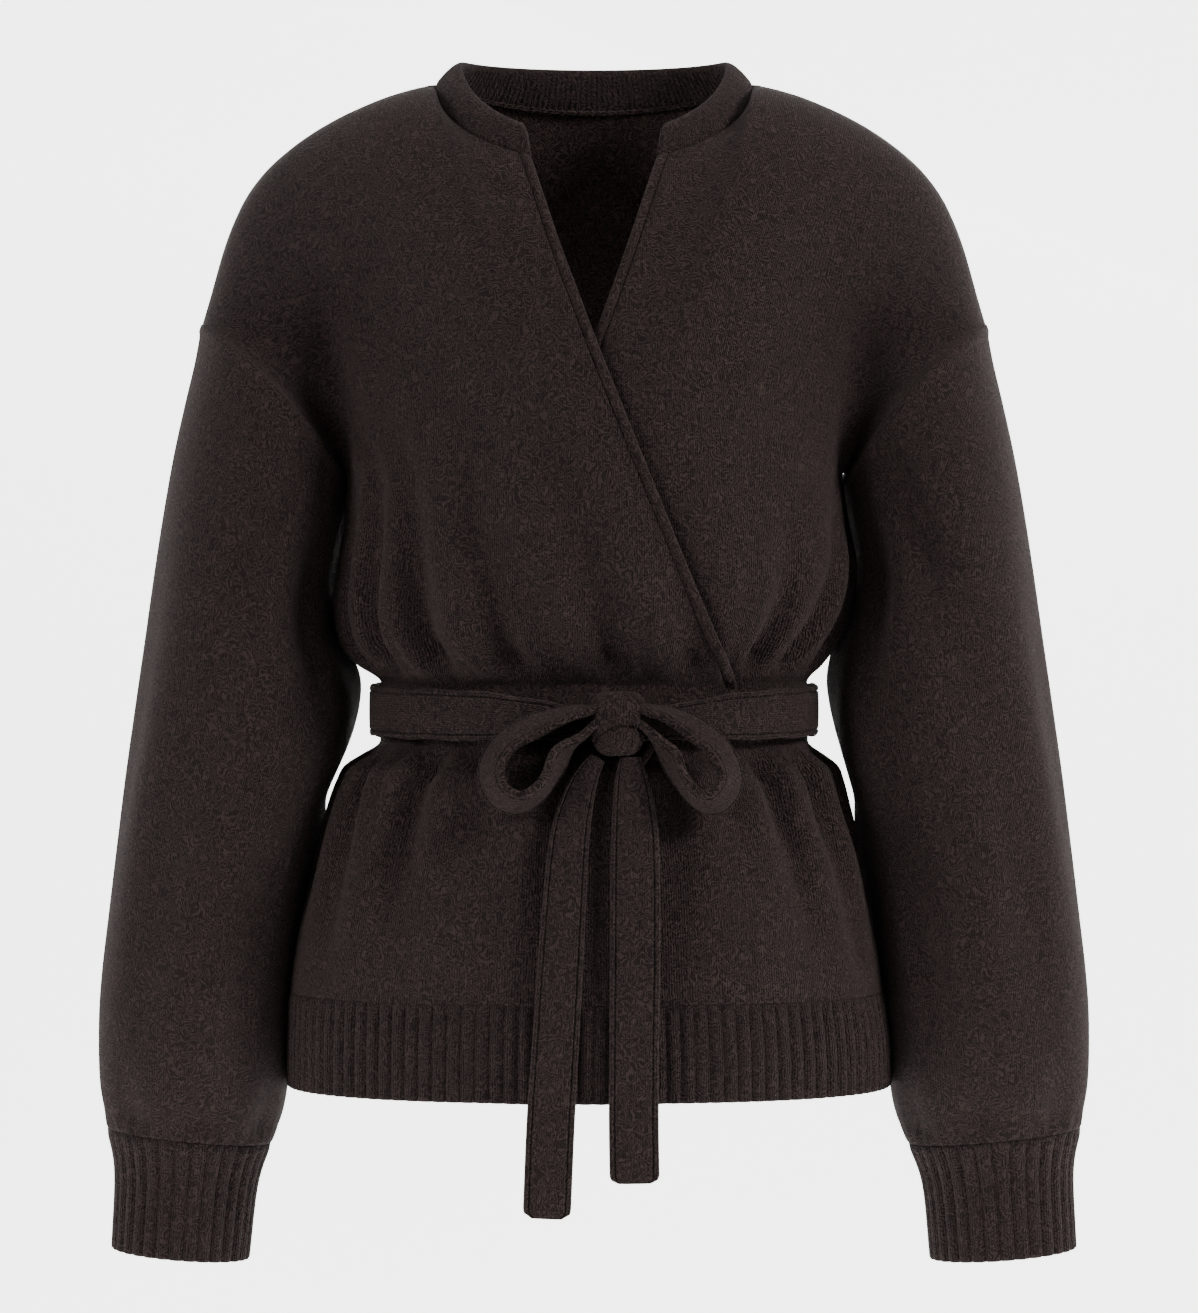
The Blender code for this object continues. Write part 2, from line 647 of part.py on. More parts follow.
def collar_line(side, share, front, top):
    """Point of the collar's seam or upper edge, share 0 at the centre or front end."""
    if not top:
        start = math.asin(NECK_END / NECK_HALF) if front else 0.0
        return neck_seam(side, mix(start, math.pi / 2, share), front)
    start = math.asin((NECK_END + COLLAR_END_SHIFT) / COLLAR_TOP_HALF) if front else 0.0
    angle = mix(start, math.pi / 2, share)
    x = side * COLLAR_TOP_HALF * np.sin(angle)
    y = np.cos(angle) * (-COLLAR_TOP_FRONT if front else COLLAR_TOP_BACK)
    return np.stack([x, y, COLLAR_TOP + COLLAR_TOP_SLOPE * np.minimum(y, 0)], axis=-1)


def collar_paths():
    """Seam and upper edge from the wearer's right front end round the back to the left."""
    panel_steps = np.arange(1, 9) / FRONT_COLUMNS / NECK_SHARE
    front = np.concatenate([[0.0, 0.04], panel_steps])
    back = np.linspace(1, 0, 6)
    stretches = [(-1, front, True), (-1, back, False),
                 (1, back[:-1][::-1], False), (1, front[::-1], True)]
    seam, edge = [], []
    for side, shares, is_front in stretches:
        seam.append(collar_line(side, shares, is_front, False))
        edge.append(collar_line(side, shares, is_front, True))
    return np.concatenate(seam), np.concatenate(edge)


def make_collar():
    """Doubled rib band that leans in towards the neck, with rounded front corners."""
    seam, edge = collar_paths()
    along = edge - seam
    run = np.gradient(seam, axis=0)
    out = np.cross(along, run)
    out /= np.linalg.norm(out, axis=-1, keepdims=True)
    height = np.ones(len(seam))
    height[[0, 1, -2, -1]] = 0.80, 0.96, 0.96, 0.80
    rise = COLLAR_SECTION["rise"][None, :] * height[:, None]
    rings = (seam[:, None] + along[:, None] * rise[..., None]
             + out[:, None] * COLLAR_SECTION["out"][None, :, None])
    add_tube("collar", rings, RIB_BROWN)


def make_belt():
    """Band round the waist, drawn narrower where it runs into the knot."""
    angles = np.linspace(-math.pi, math.pi, 49)[:-1]
    x, y = ring(BELT_RING, angles, np.full_like(angles, BELT_LEVEL), BELT_POWER)
    path = np.stack([x, y, BELT_LEVEL + BELT_TILT * y], axis=-1)
    run = np.roll(path, -1, axis=0) - np.roll(path, 1, axis=0)
    out = np.stack([run[:, 1], -run[:, 0], np.zeros(len(run))], axis=-1)
    out /= np.linalg.norm(out, axis=-1, keepdims=True)
    drawn_in = 0.35 * np.exp(-((x - KNOT_CENTRE[0]) / 24.0) ** 2) * (y < 0)
    half = BELT_HEIGHT / 2 * (1 - drawn_in)
    rings = np.repeat(path[:, None], len(BELT_SECTION["out"]), axis=1)
    rings = rings + out[:, None] * BELT_SECTION["out"][None, :, None]
    rings[..., 2] += half[:, None] * BELT_SECTION["half_height"][None, :]
    add_tube("belt", rings, BELT_BROWN, loop=True)


def make_knot():
    levels = table("rise size", [(-1, 0.80), (-0.88, 0.93), (-0.5, 1.0), (0, 0.98),
                                 (0.5, 1.0), (0.88, 0.93), (1, 0.80)])
    angles = np.linspace(0, 2 * math.pi, 13)[:-1]
    side, front = np.cos(angles), np.sin(angles)
    reach = (np.abs(side) ** 3 + np.abs(front) ** 3) ** (-1 / 3)
    rings = []
    for rise, size in zip(levels["rise"], levels["size"]):
        half = np.array(KNOT_HALF) * size
        x = KNOT_CENTRE[0] + half[0] * reach * side
        y = KNOT_CENTRE[1] + half[1] * reach * front
        z = np.full_like(x, KNOT_CENTRE[2] + KNOT_HALF[2] * rise)
        rings.append(np.stack([x, y, z], axis=-1))
    add_tube("bow_knot", np.array(rings), BELT_BROWN)


def strap_rings(rows, steps, width_way):
    """Rings of a strap whose middle line and width follow a table."""
    places = np.arange(len(rows["side"]), dtype=float)
    rows = dict(rows, place=places)
    at = np.linspace(0, places[-1], steps)
    names = ("side", "back", "height")
    path = np.stack([smooth(rows, name, at) for name in names], axis=-1)
    run = np.gradient(path, axis=0)
    thick_way = np.cross(run, np.array(width_way))
    thick_way /= np.linalg.norm(thick_way, axis=-1, keepdims=True)
    across = np.cross(thick_way, run)
    across /= np.linalg.norm(across, axis=-1, keepdims=True)
    half = smooth(rows, "width", at)[:, None, None] / 2
    return (path[:, None] + across[:, None] * half * STRAP_SECTION["half_width"][:, None]
            + thick_way[:, None] * BELT_THICK / 2 * STRAP_SECTION["half_thick"][:, None])


def make_bow():
    """Knot, two loops that stand off the belt on edge, and two hanging ends."""
    make_knot()
    tilt = (0.0, 1.0, 0.14)
    add_tube("bow_loop_left", strap_rings(BOW_LEFT_SIDE, 27, tilt), BELT_BROWN)
    add_tube("bow_loop_right", strap_rings(BOW_RIGHT_SIDE, 27, tilt), BELT_BROWN)
    flat = (1.0, 0.0, 0.0)
    add_tube("belt_end_right", strap_rings(END_RIGHT_SIDE, 15, flat), BELT_BROWN)
    add_tube("belt_end_left", strap_rings(END_LEFT_SIDE, 15, flat), BELT_BROWN)


def main():
    for item in list(bpy.data.objects):
        bpy.data.objects.remove(item)
    make_back()
    make_fronts()
    make_hem()
    make_sleeves()
    make_collar()
    make_belt()
    make_bow()


main()
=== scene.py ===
# %% [markdown]
# A wrap cardigan, knitted from a heavy dark brown wool and lightly felted. It is shown
# filled out, as it hangs on a body, but nobody wears it, so it is hollow: we can look in
# at the neck, the hem and the cuffs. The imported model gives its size, its rings and its
# largest folds. This script gives each piece its real cloth: thin knitted walls, finer
# gathers, ribs, seams, the tied strap, and a yarn that is built from its stitches.
#
# X points to the wearer's left, Y to the back and Z up. Lengths in the tables are in
# millimetres, as a knitter measures them, and the finished meshes are in metres.

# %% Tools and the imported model
import math

import bpy
import numpy as np
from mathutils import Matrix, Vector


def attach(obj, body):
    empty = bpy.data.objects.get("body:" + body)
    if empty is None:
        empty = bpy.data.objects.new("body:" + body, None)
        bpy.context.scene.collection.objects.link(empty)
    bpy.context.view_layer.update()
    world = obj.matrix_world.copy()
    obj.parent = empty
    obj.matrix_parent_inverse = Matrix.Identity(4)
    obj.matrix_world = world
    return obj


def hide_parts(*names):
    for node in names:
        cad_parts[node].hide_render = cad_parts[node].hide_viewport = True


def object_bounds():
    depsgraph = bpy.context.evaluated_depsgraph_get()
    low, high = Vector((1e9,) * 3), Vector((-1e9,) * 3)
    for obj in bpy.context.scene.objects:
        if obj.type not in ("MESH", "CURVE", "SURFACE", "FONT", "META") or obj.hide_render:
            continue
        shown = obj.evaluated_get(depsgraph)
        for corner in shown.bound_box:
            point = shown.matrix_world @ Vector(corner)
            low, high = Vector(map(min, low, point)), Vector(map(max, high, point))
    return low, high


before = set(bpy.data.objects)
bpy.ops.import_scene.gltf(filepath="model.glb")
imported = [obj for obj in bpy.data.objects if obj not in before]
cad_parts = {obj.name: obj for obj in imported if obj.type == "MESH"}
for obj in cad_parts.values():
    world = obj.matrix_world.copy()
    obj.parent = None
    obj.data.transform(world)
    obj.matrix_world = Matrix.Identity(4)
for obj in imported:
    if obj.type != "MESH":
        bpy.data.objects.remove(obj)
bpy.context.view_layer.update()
MM = 0.001
bpy.ops.object.select_all(action="DESELECT")
print("nodes of the packed cardigan:", sorted(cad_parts))

# %% [markdown]
# The camera stands level, far enough away for the long lens of a catalogue picture, at
# about half the height of the cardigan. The light is that of a white studio: a strong soft
# lamp from the upper right, weaker ones from the left, from above and from beside the
# camera. The side ones stand well out, so each fold has a lit and a dark flank. The
# floor curves up into the back wall, so that no line shows where they meet. The paper is
# there for its front alone: a camera that goes round behind the wall looks through it.

# %% Camera
camera_data = bpy.data.cameras.new("camera")
camera_data.lens = 118.8
camera_data.sensor_width = 36.0
camera = bpy.data.objects.new("camera", camera_data)
camera.location = (0.003, -2.6, -0.337)
camera.rotation_euler = (math.radians(90), 0.0, 0.0)
bpy.context.scene.collection.objects.link(camera)
bpy.context.scene.camera = camera
print("camera at", tuple(camera.location), "with a lens of", camera_data.lens, "mm")


# %% Colours and nodes
def linear(code):
    """An sRGB hex colour as the linear numbers that a shader wants."""
    parts = [int(code[start:start + 2], 16) / 255 for start in (0, 2, 4)]
    return tuple(part / 12.92 if part <= 0.04045 else ((part + 0.055) / 1.055) ** 2.4
                 for part in parts) + (1.0,)


def add(tree, name, kind, inputs=None, **settings):
    """Adds a node. An input is a value, or the name of the node it comes from, or that
    name with the number of its output."""
    made = tree.nodes.new(kind)
    made.name = made.label = name
    for setting, value in settings.items():
        setattr(made, setting, value)
    for socket, value in (inputs or {}).items():
        if isinstance(value, str):
            value = (value, 0)
        if isinstance(value, tuple) and isinstance(value[0], str):
            tree.links.new(tree.nodes[value[0]].outputs[value[1]], made.inputs[socket])
        else:
            made.inputs[socket].default_value = value
    return made


def new_material(name):
    material = bpy.data.materials.new(name)
    material.use_nodes = True
    material.node_tree.nodes.clear()
    return material


print("chocolate brown is", linear("3a2e2c")[:3])

# %% Studio
FLOOR_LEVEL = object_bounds()[0][2] - 0.30
WALL_BACK = 2.2

bpy.ops.mesh.primitive_plane_add(size=1.0,
                                 location=(0.0, WALL_BACK / 2 - 0.3, FLOOR_LEVEL))
studio = bpy.context.object
studio.name = "studio_sweep"
studio.scale = (12.0, WALL_BACK + 0.6, 1.0)
bpy.ops.object.transform_apply(location=True, rotation=True, scale=True)
bpy.ops.object.mode_set(mode="EDIT")
bpy.ops.mesh.select_mode(type="EDGE")
bpy.ops.mesh.select_all(action="DESELECT")
bpy.ops.object.mode_set(mode="OBJECT")
for edge in studio.data.edges:
    edge.select = all(studio.data.vertices[index].co.y > 0 for index in edge.vertices)
bpy.ops.object.mode_set(mode="EDIT")
bpy.ops.mesh.extrude_region_move(TRANSFORM_OT_translate={"value": (0.0, 0.0, 5.0)})
bpy.ops.object.mode_set(mode="OBJECT")
curve_up = studio.modifiers.new("curve_up", "BEVEL")
curve_up.width = 1.2
curve_up.segments = 16
curve_up.affect = "EDGES"
curve_up.limit_method = "ANGLE"
bpy.ops.object.modifier_apply(modifier=curve_up.name)
bpy.ops.object.shade_smooth()
paper = new_material("matte_white_paper")
add(paper.node_tree, "shader", "ShaderNodeBsdfPrincipled",
    {"Base Color": linear("f4f4f3"), "Roughness": 0.95,
     "Emission Color": linear("ffffff"), "Emission Strength": 2.6})
add(paper.node_tree, "face", "ShaderNodeNewGeometry")
add(paper.node_tree, "clear", "ShaderNodeBsdfTransparent")
add(paper.node_tree, "one_sided", "ShaderNodeMixShader",
    {0: ("face", "Backfacing"), 1: "shader", 2: "clear"})
add(paper.node_tree, "output", "ShaderNodeOutputMaterial", {"Surface": "one_sided"})
studio.data.materials.append(paper)
print("floor at", round(FLOOR_LEVEL, 3), "m")

# %% Lamps
LAMPS = [
    ("soft_upper_right", (2.5, -1.6, 1.2), 0.9, 140.0),
    ("soft_left", (-2.2, -1.8, 0.6), 1.0, 66.0),
    ("soft_top", (0.1, -0.5, 2.0), 1.0, 30.0),
    ("soft_front", (-0.3, -3.2, 0.5), 1.2, 8.0),
    ("soft_back", (0.4, 2.0, 0.6), 1.4, 14.0),
]
for name, place, size, power in LAMPS:
    lamp_data = bpy.data.lights.new(name, "AREA")
    lamp_data.shape = "DISK"
    lamp_data.size = size
    lamp_data.energy = power
    lamp = bpy.data.objects.new(name, lamp_data)
    lamp.location = place
    aim = np.array([0.0, 0.0, -0.34]) - np.array(place)
    lamp.rotation_euler = (math.atan2(math.hypot(aim[0], aim[1]), -aim[2]), 0.0,
                           math.atan2(aim[1], aim[0]) - math.pi / 2)
    bpy.context.scene.collection.objects.link(lamp)
world = bpy.data.worlds.new("white_room")
bpy.context.scene.world = world
world.use_nodes = True
world.node_tree.nodes["Background"].inputs["Color"].default_value = linear("ffffff")
world.node_tree.nodes["Background"].inputs["Strength"].default_value = 0.16
print("lamps:", [row[0] for row in LAMPS])

# %% [markdown]
# The cardigan's form is a stack of level rings for the body and a row of slanted rings
# for each sleeve. Each table below has one row for each ring, and a smooth curve runs
# through its columns, so a few rows make a whole sleeve. A pattern cutter would drape
# cloth on a stand instead; rings are easier to keep to a measured outline.


# %% Reading the tables
def table(names, rows):
    """Named columns of numbers, one row for each section or fold."""
    return {name: np.array(values, float) for name, values in zip(names.split(), zip(*rows))}


def read(rows, name, at, key="height"):
    """A column of a table at any place between its rows, smooth and never overshooting."""
    x, y = rows[key], rows[name]
    if x[0] > x[-1]:
        x, y = x[::-1], y[::-1]
    step, rise = np.diff(x), np.diff(y) / np.diff(x)
    slope = np.concatenate([rise[:1], np.zeros(len(x) - 2), rise[-1:]])
    same = rise[:-1] * rise[1:] > 0
    mean = 2 * rise[:-1] * rise[1:] / np.where(same, rise[:-1] + rise[1:], 1)
    slope[1:-1] = np.where(same, mean, 0)
    at = np.clip(at, x[0], x[-1])
    i = np.clip(np.searchsorted(x, at, side="right") - 1, 0, len(step) - 1)
    u, h = (at - x[i]) / step[i], step[i]
    return (y[i] * (1 + 2 * u) * (1 - u) ** 2 + y[i + 1] * u * u * (3 - 2 * u)
            + h * slope[i] * u * (1 - u) ** 2 - h * slope[i + 1] * u * u * (1 - u))


def smoothstep(value):
    value = np.clip(value, 0.0, 1.0)
    return value * value * (3 - 2 * value)


def mix(start, end, share):
    return start + (end - start) * share


def through(points, at):
    """Points on a smooth curve through the rows of an array, counted from 0."""
    points, at = np.asarray(points, float), np.asarray(at, float)
    slope = np.gradient(points, axis=0)
    i = np.clip(at.astype(int), 0, len(points) - 2)
    u = (at - i).reshape((-1,) + (1,) * (points.ndim - 1))
    return (points[i] * (1 + 2 * u) * (1 - u) ** 2 + points[i + 1] * u * u * (3 - 2 * u)
            + slope[i] * u * (1 - u) ** 2 - slope[i + 1] * u * u * (1 - u))


print("half way from 0 to 10 the smooth step is", smoothstep(0.5) * 10)

# %% The body's rings and edges
RIB_TOP, HEM_BOTTOM, UNDERARM = -537.0, -593.0, -229.0
SEAM_GAP, FRONT_LIFT, LIFT_START, LIFT_RUN = 0.3, 4.0, 42.0, 30.0
UNDER_DROP, UNDER_START = 5.5, 10.0
OVER, UNDER = -1, 1
NECK_HALF, NECK_FRONT, NECK_BACK, NECK_END = 95.0, 71.7, 62.0, 37.0
NECK_SLOPE, NECK_SIDE_RISE, NECK_BACK_LEVEL, NECK_SHARE = 0.755, 6.0, -3.0, 1 / 3
BODY_POWER, BELT_POWER = 2.3, 2.42

BODY = table("height right left front back", [
    (-593, 183.0, 177.0, 124, 112), (-575, 183.0, 177.0, 124, 112),
    (-537, 182.0, 173.0, 123, 111), (-500, 177.0, 169.0, 120, 108),
    (-468, 171.0, 165.0, 117, 104), (-428, 161.0, 155.0, 112, 99),
    (-401, 149.0, 146.0, 107, 94), (-388, 128.5, 128.5, 96, 85),
    (-351, 127.7, 127.7, 95, 84), (-345, 138.0, 134.0, 103, 90),
    (-329, 153.0, 146.0, 113, 96), (-307, 157.0, 155.0, 119, 100),
    (-285, 154.0, 158.0, 121, 102), (-253, 149.0, 153.0, 122, 102),
    (-229, 148.0, 150.0, 120, 101),
])
FRONT_EDGE = table("height past_centre", [
    (-593, 24), (-470, 24.5), (-430, 25.5), (-405, 28), (-388, 38), (-354, 82),
    (-323, 70), (-285, 54), (-229, 31), (-155, 1), (-116, -14), (-78, -27), (-44, -37),
])
SHOULDER = table("side height", [
    (95, 6), (114, 2), (132, -3), (152, -8.5), (171, -15), (193, -27), (203, -39),
    (209, -51), (214, -63), (220, -87), (227, -111), (235, -138),
])
SLEEVE = table("outer_height outer inner_height inner_right inner_left depth forward", [
    (-138, 235, -229, 148.0, 150.0, 65, 0), (-160, 239, -241, 149.6, 152.6, 66, 0),
    (-186, 245, -256, 151.5, 155.5, 66, 1), (-216, 251.5, -276, 155.5, 159.2, 66, 2),
    (-250, 257.5, -300, 159.2, 158.8, 65, 3), (-288, 263.5, -328, 156.8, 150.8, 64, 4),
    (-326, 269, -356, 145.5, 145.5, 63, 5), (-366, 275, -388, 147.0, 147.0, 62, 6),
    (-408, 281, -424, 161.8, 156.8, 60, 7), (-450, 286, -462, 171.3, 166.0, 58, 8),
    (-492, 290.5, -501, 179.2, 171.4, 56, 9), (-532, 294.5, -540, 184.0, 175.4, 54, 10),
    (-566, 296.5, -573, 185.2, 179.2, 52, 10), (-590, 296.5, -597, 185.4, 179.2, 49, 10),
    (-606, 294.0, -614, 188.6, 182.8, 45, 10), (-617.7, 290.5, -627.7, 193.4, 188.2, 41, 10),
])
CUFF = table("outer_height outer inner_height inner_right inner_left depth forward", [
    (-618.1, 290.3, -628.2, 193.6, 188.4, 41, 10), (-644, 285.8, -653, 201.5, 197.0, 36.0, 10),
    (-690, 287.5, -697, 206.8, 201.5, 35.5, 10),
])
print("the hem is", BODY["right"][0] + BODY["left"][0], "mm wide")

# %% [markdown]
# Cloth that a belt pulls in has to go somewhere: it folds into troughs that start deep at
# the belt and run out over the chest and the hips. Each row below is one trough, from its
# place at the belt to the place where it ends. Angle 0 is the centre front. The large ones
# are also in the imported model; the small ones between them are only here. They differ in
# depth, width and slant, because a real gather is never even.

# %% The belt's gathers
FOLDS = table("angle height far_angle far_height depth half_width", [
    (-71, -350, -73, -245, 9.0, 5.0), (-56, -350, -58, -222, 11.5, 4.5),
    (-37, -350, -49, -218, 11.5, 5.5), (-17, -350, -38, -196, 7.5, 7.0),
    (5, -350, -20, -192, 6.0, 8.0), (25, -350, 4, -222, 5.0, 8.0),
    (42, -350, 46, -262, 9.0, 4.5), (54, -350, 73, -245, 9.5, 5.0),
    (72, -350, 86, -235, 7.5, 5.5),
    (99, -350, 103, -235, 8.0, 6.0), (121, -350, 115, -212, 9.0, 6.5),
    (144, -350, 148, -240, 8.0, 6.5), (166, -350, 159, -208, 9.0, 7.0),
    (-171, -350, -168, -228, 8.0, 7.0), (-148, -350, -154, -212, 9.0, 6.5),
    (-125, -350, -121, -238, 8.5, 6.5), (-101, -350, -107, -222, 8.0, 6.0),
    (-79, -389, -80, -475, 7.0, 5.0), (-64, -389, -57, -512, 9.5, 5.0),
    (-41, -389, -39, -500, 10.0, 5.5), (-26, -389, -25, -470, 5.0, 6.0),
    (-5, -389, -7, -470, 3.5, 8.0), (17, -389, 16, -485, 4.0, 8.0),
    (30, -389, 31, -470, 4.5, 5.5), (42, -389, 49, -510, 10.0, 5.0),
    (58, -389, 66, -512, 9.5, 5.5), (76, -389, 80, -485, 7.5, 5.5),
    (95, -389, 93, -505, 8.0, 6.5), (116, -389, 111, -518, 9.5, 7.0),
    (137, -389, 142, -495, 8.5, 7.0), (159, -389, 155, -520, 9.5, 7.5),
    (-178, -389, -177, -500, 8.0, 7.5), (-157, -389, -162, -518, 9.0, 7.0),
    (-136, -389, -131, -495, 9.5, 7.0), (-115, -389, -119, -515, 9.0, 7.0),
    (-97, -389, -96, -490, 7.0, 6.0),
])
SMALL_FOLDS = table("angle height far_angle far_height depth half_width", [
    (-63, -349, -66, -300, 4.0, 2.2), (-47, -349, -52, -290, 4.8, 2.4),
    (-29, -349, -41, -285, 4.2, 2.8), (-8, -349, -22, -280, 3.5, 3.2),
    (14, -349, 0, -290, 3.2, 3.0), (34, -349, 33, -300, 3.8, 2.4),
    (48, -349, 57, -292, 4.8, 2.2), (62, -349, 77, -300, 3.8, 2.4),
    (110, -349, 109, -290, 4.2, 3.0), (132, -349, 133, -285, 4.5, 3.0),
    (155, -349, 152, -290, 4.2, 3.2), (178, -349, 176, -285, 4.2, 3.2),
    (-159, -349, -161, -288, 4.5, 3.0), (-136, -349, -137, -290, 4.2, 3.0),
    (-113, -349, -114, -285, 4.2, 2.8),
    (-71, -390, -67, -440, 4.2, 2.2), (-52, -390, -49, -445, 5.1, 2.4),
    (-33, -390, -32, -432, 3.5, 2.6), (-15, -390, -15, -430, 3.2, 3.0),
    (24, -390, 24, -432, 3.5, 2.8), (36, -390, 38, -436, 4.2, 2.2),
    (50, -390, 56, -446, 5.1, 2.4), (67, -390, 73, -440, 4.2, 2.4),
    (105, -390, 102, -440, 4.5, 3.0), (127, -390, 127, -450, 4.2, 3.0),
    (148, -390, 149, -440, 4.5, 3.0), (170, -390, 168, -448, 4.2, 3.2),
    (-168, -390, -170, -440, 4.5, 3.2), (-146, -390, -146, -450, 4.2, 3.0),
    (-125, -390, -125, -442, 4.5, 3.0), (-106, -390, -106, -446, 4.2, 2.8),
])
FOLD_ONSET, FOLD_REACH = 0.06, 1.3


def belt_folds(rows, angle, height):
    """How far the gathers of a table push the cloth out, which is inwards."""
    move = np.zeros(np.broadcast(angle, height).shape)
    degrees = np.degrees(angle)
    for a0, z0, a1, z1, depth, half in zip(*rows.values()):
        run = (height - z0) / (z1 - z0) / FOLD_REACH
        fade = smoothstep(run / FOLD_ONSET) * np.clip(1 - run, 0, 1) * (run > 0)
        off = (degrees - mix(a0, a1, np.clip(run, 0, 1.3)) + 180) % 360 - 180
        wide = min(half, 6.0) * mix(0.7, 1.25, np.clip(run, 0, 1))
        move -= depth * fade * np.exp(-(off / wide) ** 2)
    return move


print("gathers:", len(FOLDS["angle"]), "large,", len(SMALL_FOLDS["angle"]), "small")

# %% [markdown]
# Away from the belt the cloth only bends softly: a crease runs from the top of each
# sleeve seam to the underarm, a dip runs down from the end of the collar on the side that
# lies on top, and broad shallow waves cross the back. Side and height place each one; a
# minus depth is a ridge.

# %% Creases of chest, shoulder and back
CREASES = table("side height far_side far_height depth half_width front back", [
    (-170, -96, -148, -226, 8.0, 16, 1, 1), (170, -96, 148, -226, 8.0, 16, 1, 1),
    (-79, -34, -34, -96, 3.2, 8, 1, 0), (-70, -42, -22, -118, -1.6, 7, 1, 0),
    (-150, -60, -120, -190, 2.4, 12, 1, 0), (152, -62, 118, -186, 2.8, 12, 1, 0),
    (-176, -120, -136, -236, 2.6, 7, 1, 0), (178, -122, 138, -238, 2.6, 7, 1, 0),
    (70, -40, 44, -90, 1.5, 9, 1, 0), (-100, -250, -40, -300, 1.6, 12, 1, 0),
    (-60, -80, 10, -150, 1.8, 18, 0, 1), (80, -100, 0, -190, 2.0, 20, 0, 1),
    (-140, -120, -90, -220, 2.6, 13, 0, 1), (146, -118, 96, -222, 2.6, 13, 0, 1),
])
CREASE_LOW = UNDERARM - 60.0


def creases(points, front):
    """How far the soft creases of the front or back push the cloth out."""
    side, height = points[..., 0], points[..., 2]
    move = np.zeros(side.shape)
    for x0, z0, x1, z1, depth, half, on_front, on_back in zip(*CREASES.values()):
        run = np.array([x1 - x0, z1 - z0])
        length = np.hypot(*run)
        along = ((side - x0) * run[0] + (height - z0) * run[1]) / length ** 2
        across = ((side - x0) * run[1] - (height - z0) * run[0]) / length
        fade = np.sin(np.pi * np.clip(along, 0, 1)) ** 2
        move -= (on_front if front else on_back) * depth * fade * np.exp(-(across / half) ** 2)
    return move * smoothstep((height - CREASE_LOW) / 30.0)


print("creases:", len(CREASES["side"]))


# %% Rings, seams and shoulder
def ring(rows, angle, height, power=BODY_POWER):
    """Point of a level ring: angle 0 at the centre front, pi / 2 at the wearer's left."""
    side, front = np.sin(angle), np.cos(angle)
    reach = (np.abs(side) ** power + np.abs(front) ** power) ** (-1 / power)
    half = np.where(side < 0, read(rows, "right", height), read(rows, "left", height))
    deep = np.where(front < 0, read(rows, "back", height), read(rows, "front", height))
    return half * reach * side, -deep * reach * front


def edge_angle(height, past):
    """Angle at which the body's ring is this far past the centre line."""
    angles = np.linspace(-math.pi / 2, math.pi / 2, 361)
    sides, _ = ring(BODY, angles, height)
    return np.interp(past, sides, angles)


def arm_axis(side):
    """The armhole's outer and inner points, and the way the sleeve leaves it."""
    name = "inner_left" if side > 0 else "inner_right"
    top = np.array([side * SLEEVE["outer"][0], 0.0, SLEEVE["outer_height"][0]])
    low = np.array([side * SLEEVE[name][0], 0.0, SLEEVE["inner_height"][0]])
    line = (top - low) / np.linalg.norm(top - low)
    return top, low, np.array([side * abs(line[2]), 0.0, -abs(line[0])])


def armhole(side, turn):
    """Point of the armhole seam: turn 0 underarm, pi at the top, through the front."""
    top, low, away = arm_axis(side)
    turn = np.asarray(turn)[..., None]
    depth = np.array([0.0, -SLEEVE["depth"][0], 0.0])
    sweep = away * 6.5 * np.abs(np.sin(turn)) ** 1.5
    return mix(low, top, (1 - np.cos(turn)) / 2) + depth * np.sin(turn) - sweep


def neck_seam(side, angle, front):
    """Point of the neck seam, angle 0 at the centre and pi / 2 at the shoulder."""
    x = side * NECK_HALF * np.sin(angle)
    y = np.cos(angle) * (-NECK_FRONT if front else NECK_BACK)
    z = (NECK_SIDE_RISE + NECK_SLOPE * y if front
         else mix(NECK_BACK_LEVEL, NECK_SIDE_RISE, np.sin(angle) ** 2))
    return np.stack([x, y, z], axis=-1)


def shoulder_line(side, share):
    """Point of the shoulder line, share 0 at the neck and 1 at the sleeve seam."""
    steps = np.hypot(np.diff(SHOULDER["side"]), np.diff(SHOULDER["height"]))
    run = np.concatenate([[0.0], np.cumsum(steps)]) / steps.sum()
    x = np.interp(share, run, SHOULDER["side"])
    z = np.interp(share, run, SHOULDER["height"])
    return np.stack([side * x, np.zeros_like(x), z], axis=-1)


print("the armhole is", round(abs(SLEEVE["outer_height"][0] - SLEEVE["inner_height"][0])),
      "mm high")


# %% A panel's plain form
def upper_point(side, across, up, base_angle, start_angle, front):
    """Point above the underarm: across 0 at the centre or edge, 1 at the armhole."""
    x, y = ring(BODY, base_angle, UNDERARM)
    base = np.stack([x, y, np.full_like(x, UNDERARM)], axis=-1)
    to_neck = np.clip(across / NECK_SHARE, 0, 1)
    neck = neck_seam(side, mix(start_angle, math.pi / 2, to_neck), front)
    shoulder = shoulder_line(side, np.clip((across - NECK_SHARE) / (1 - NECK_SHARE), 0, 1))
    top = np.where((across < NECK_SHARE)[..., None], neck, shoulder)
    roundness = smoothstep(to_neck)
    rise = mix(up, np.sin(up * math.pi / 2), roundness)
    depth = (1 - rise ** 2).clip(0) ** mix(0.8, 0.5, roundness)
    spread = rise ** mix(1.0, 1.7, smoothstep(across / 0.7))
    arch = np.stack([mix(base[..., 0], top[..., 0], spread),
                     mix(top[..., 1], base[..., 1], depth),
                     mix(base[..., 2], top[..., 2], rise)], axis=-1)
    loop = armhole(side, up * math.pi if front else -up * math.pi)
    share = (np.clip((across - 0.4) / 0.6, 0, 1) ** 1.7)[..., None]
    return mix(arch, loop, share)


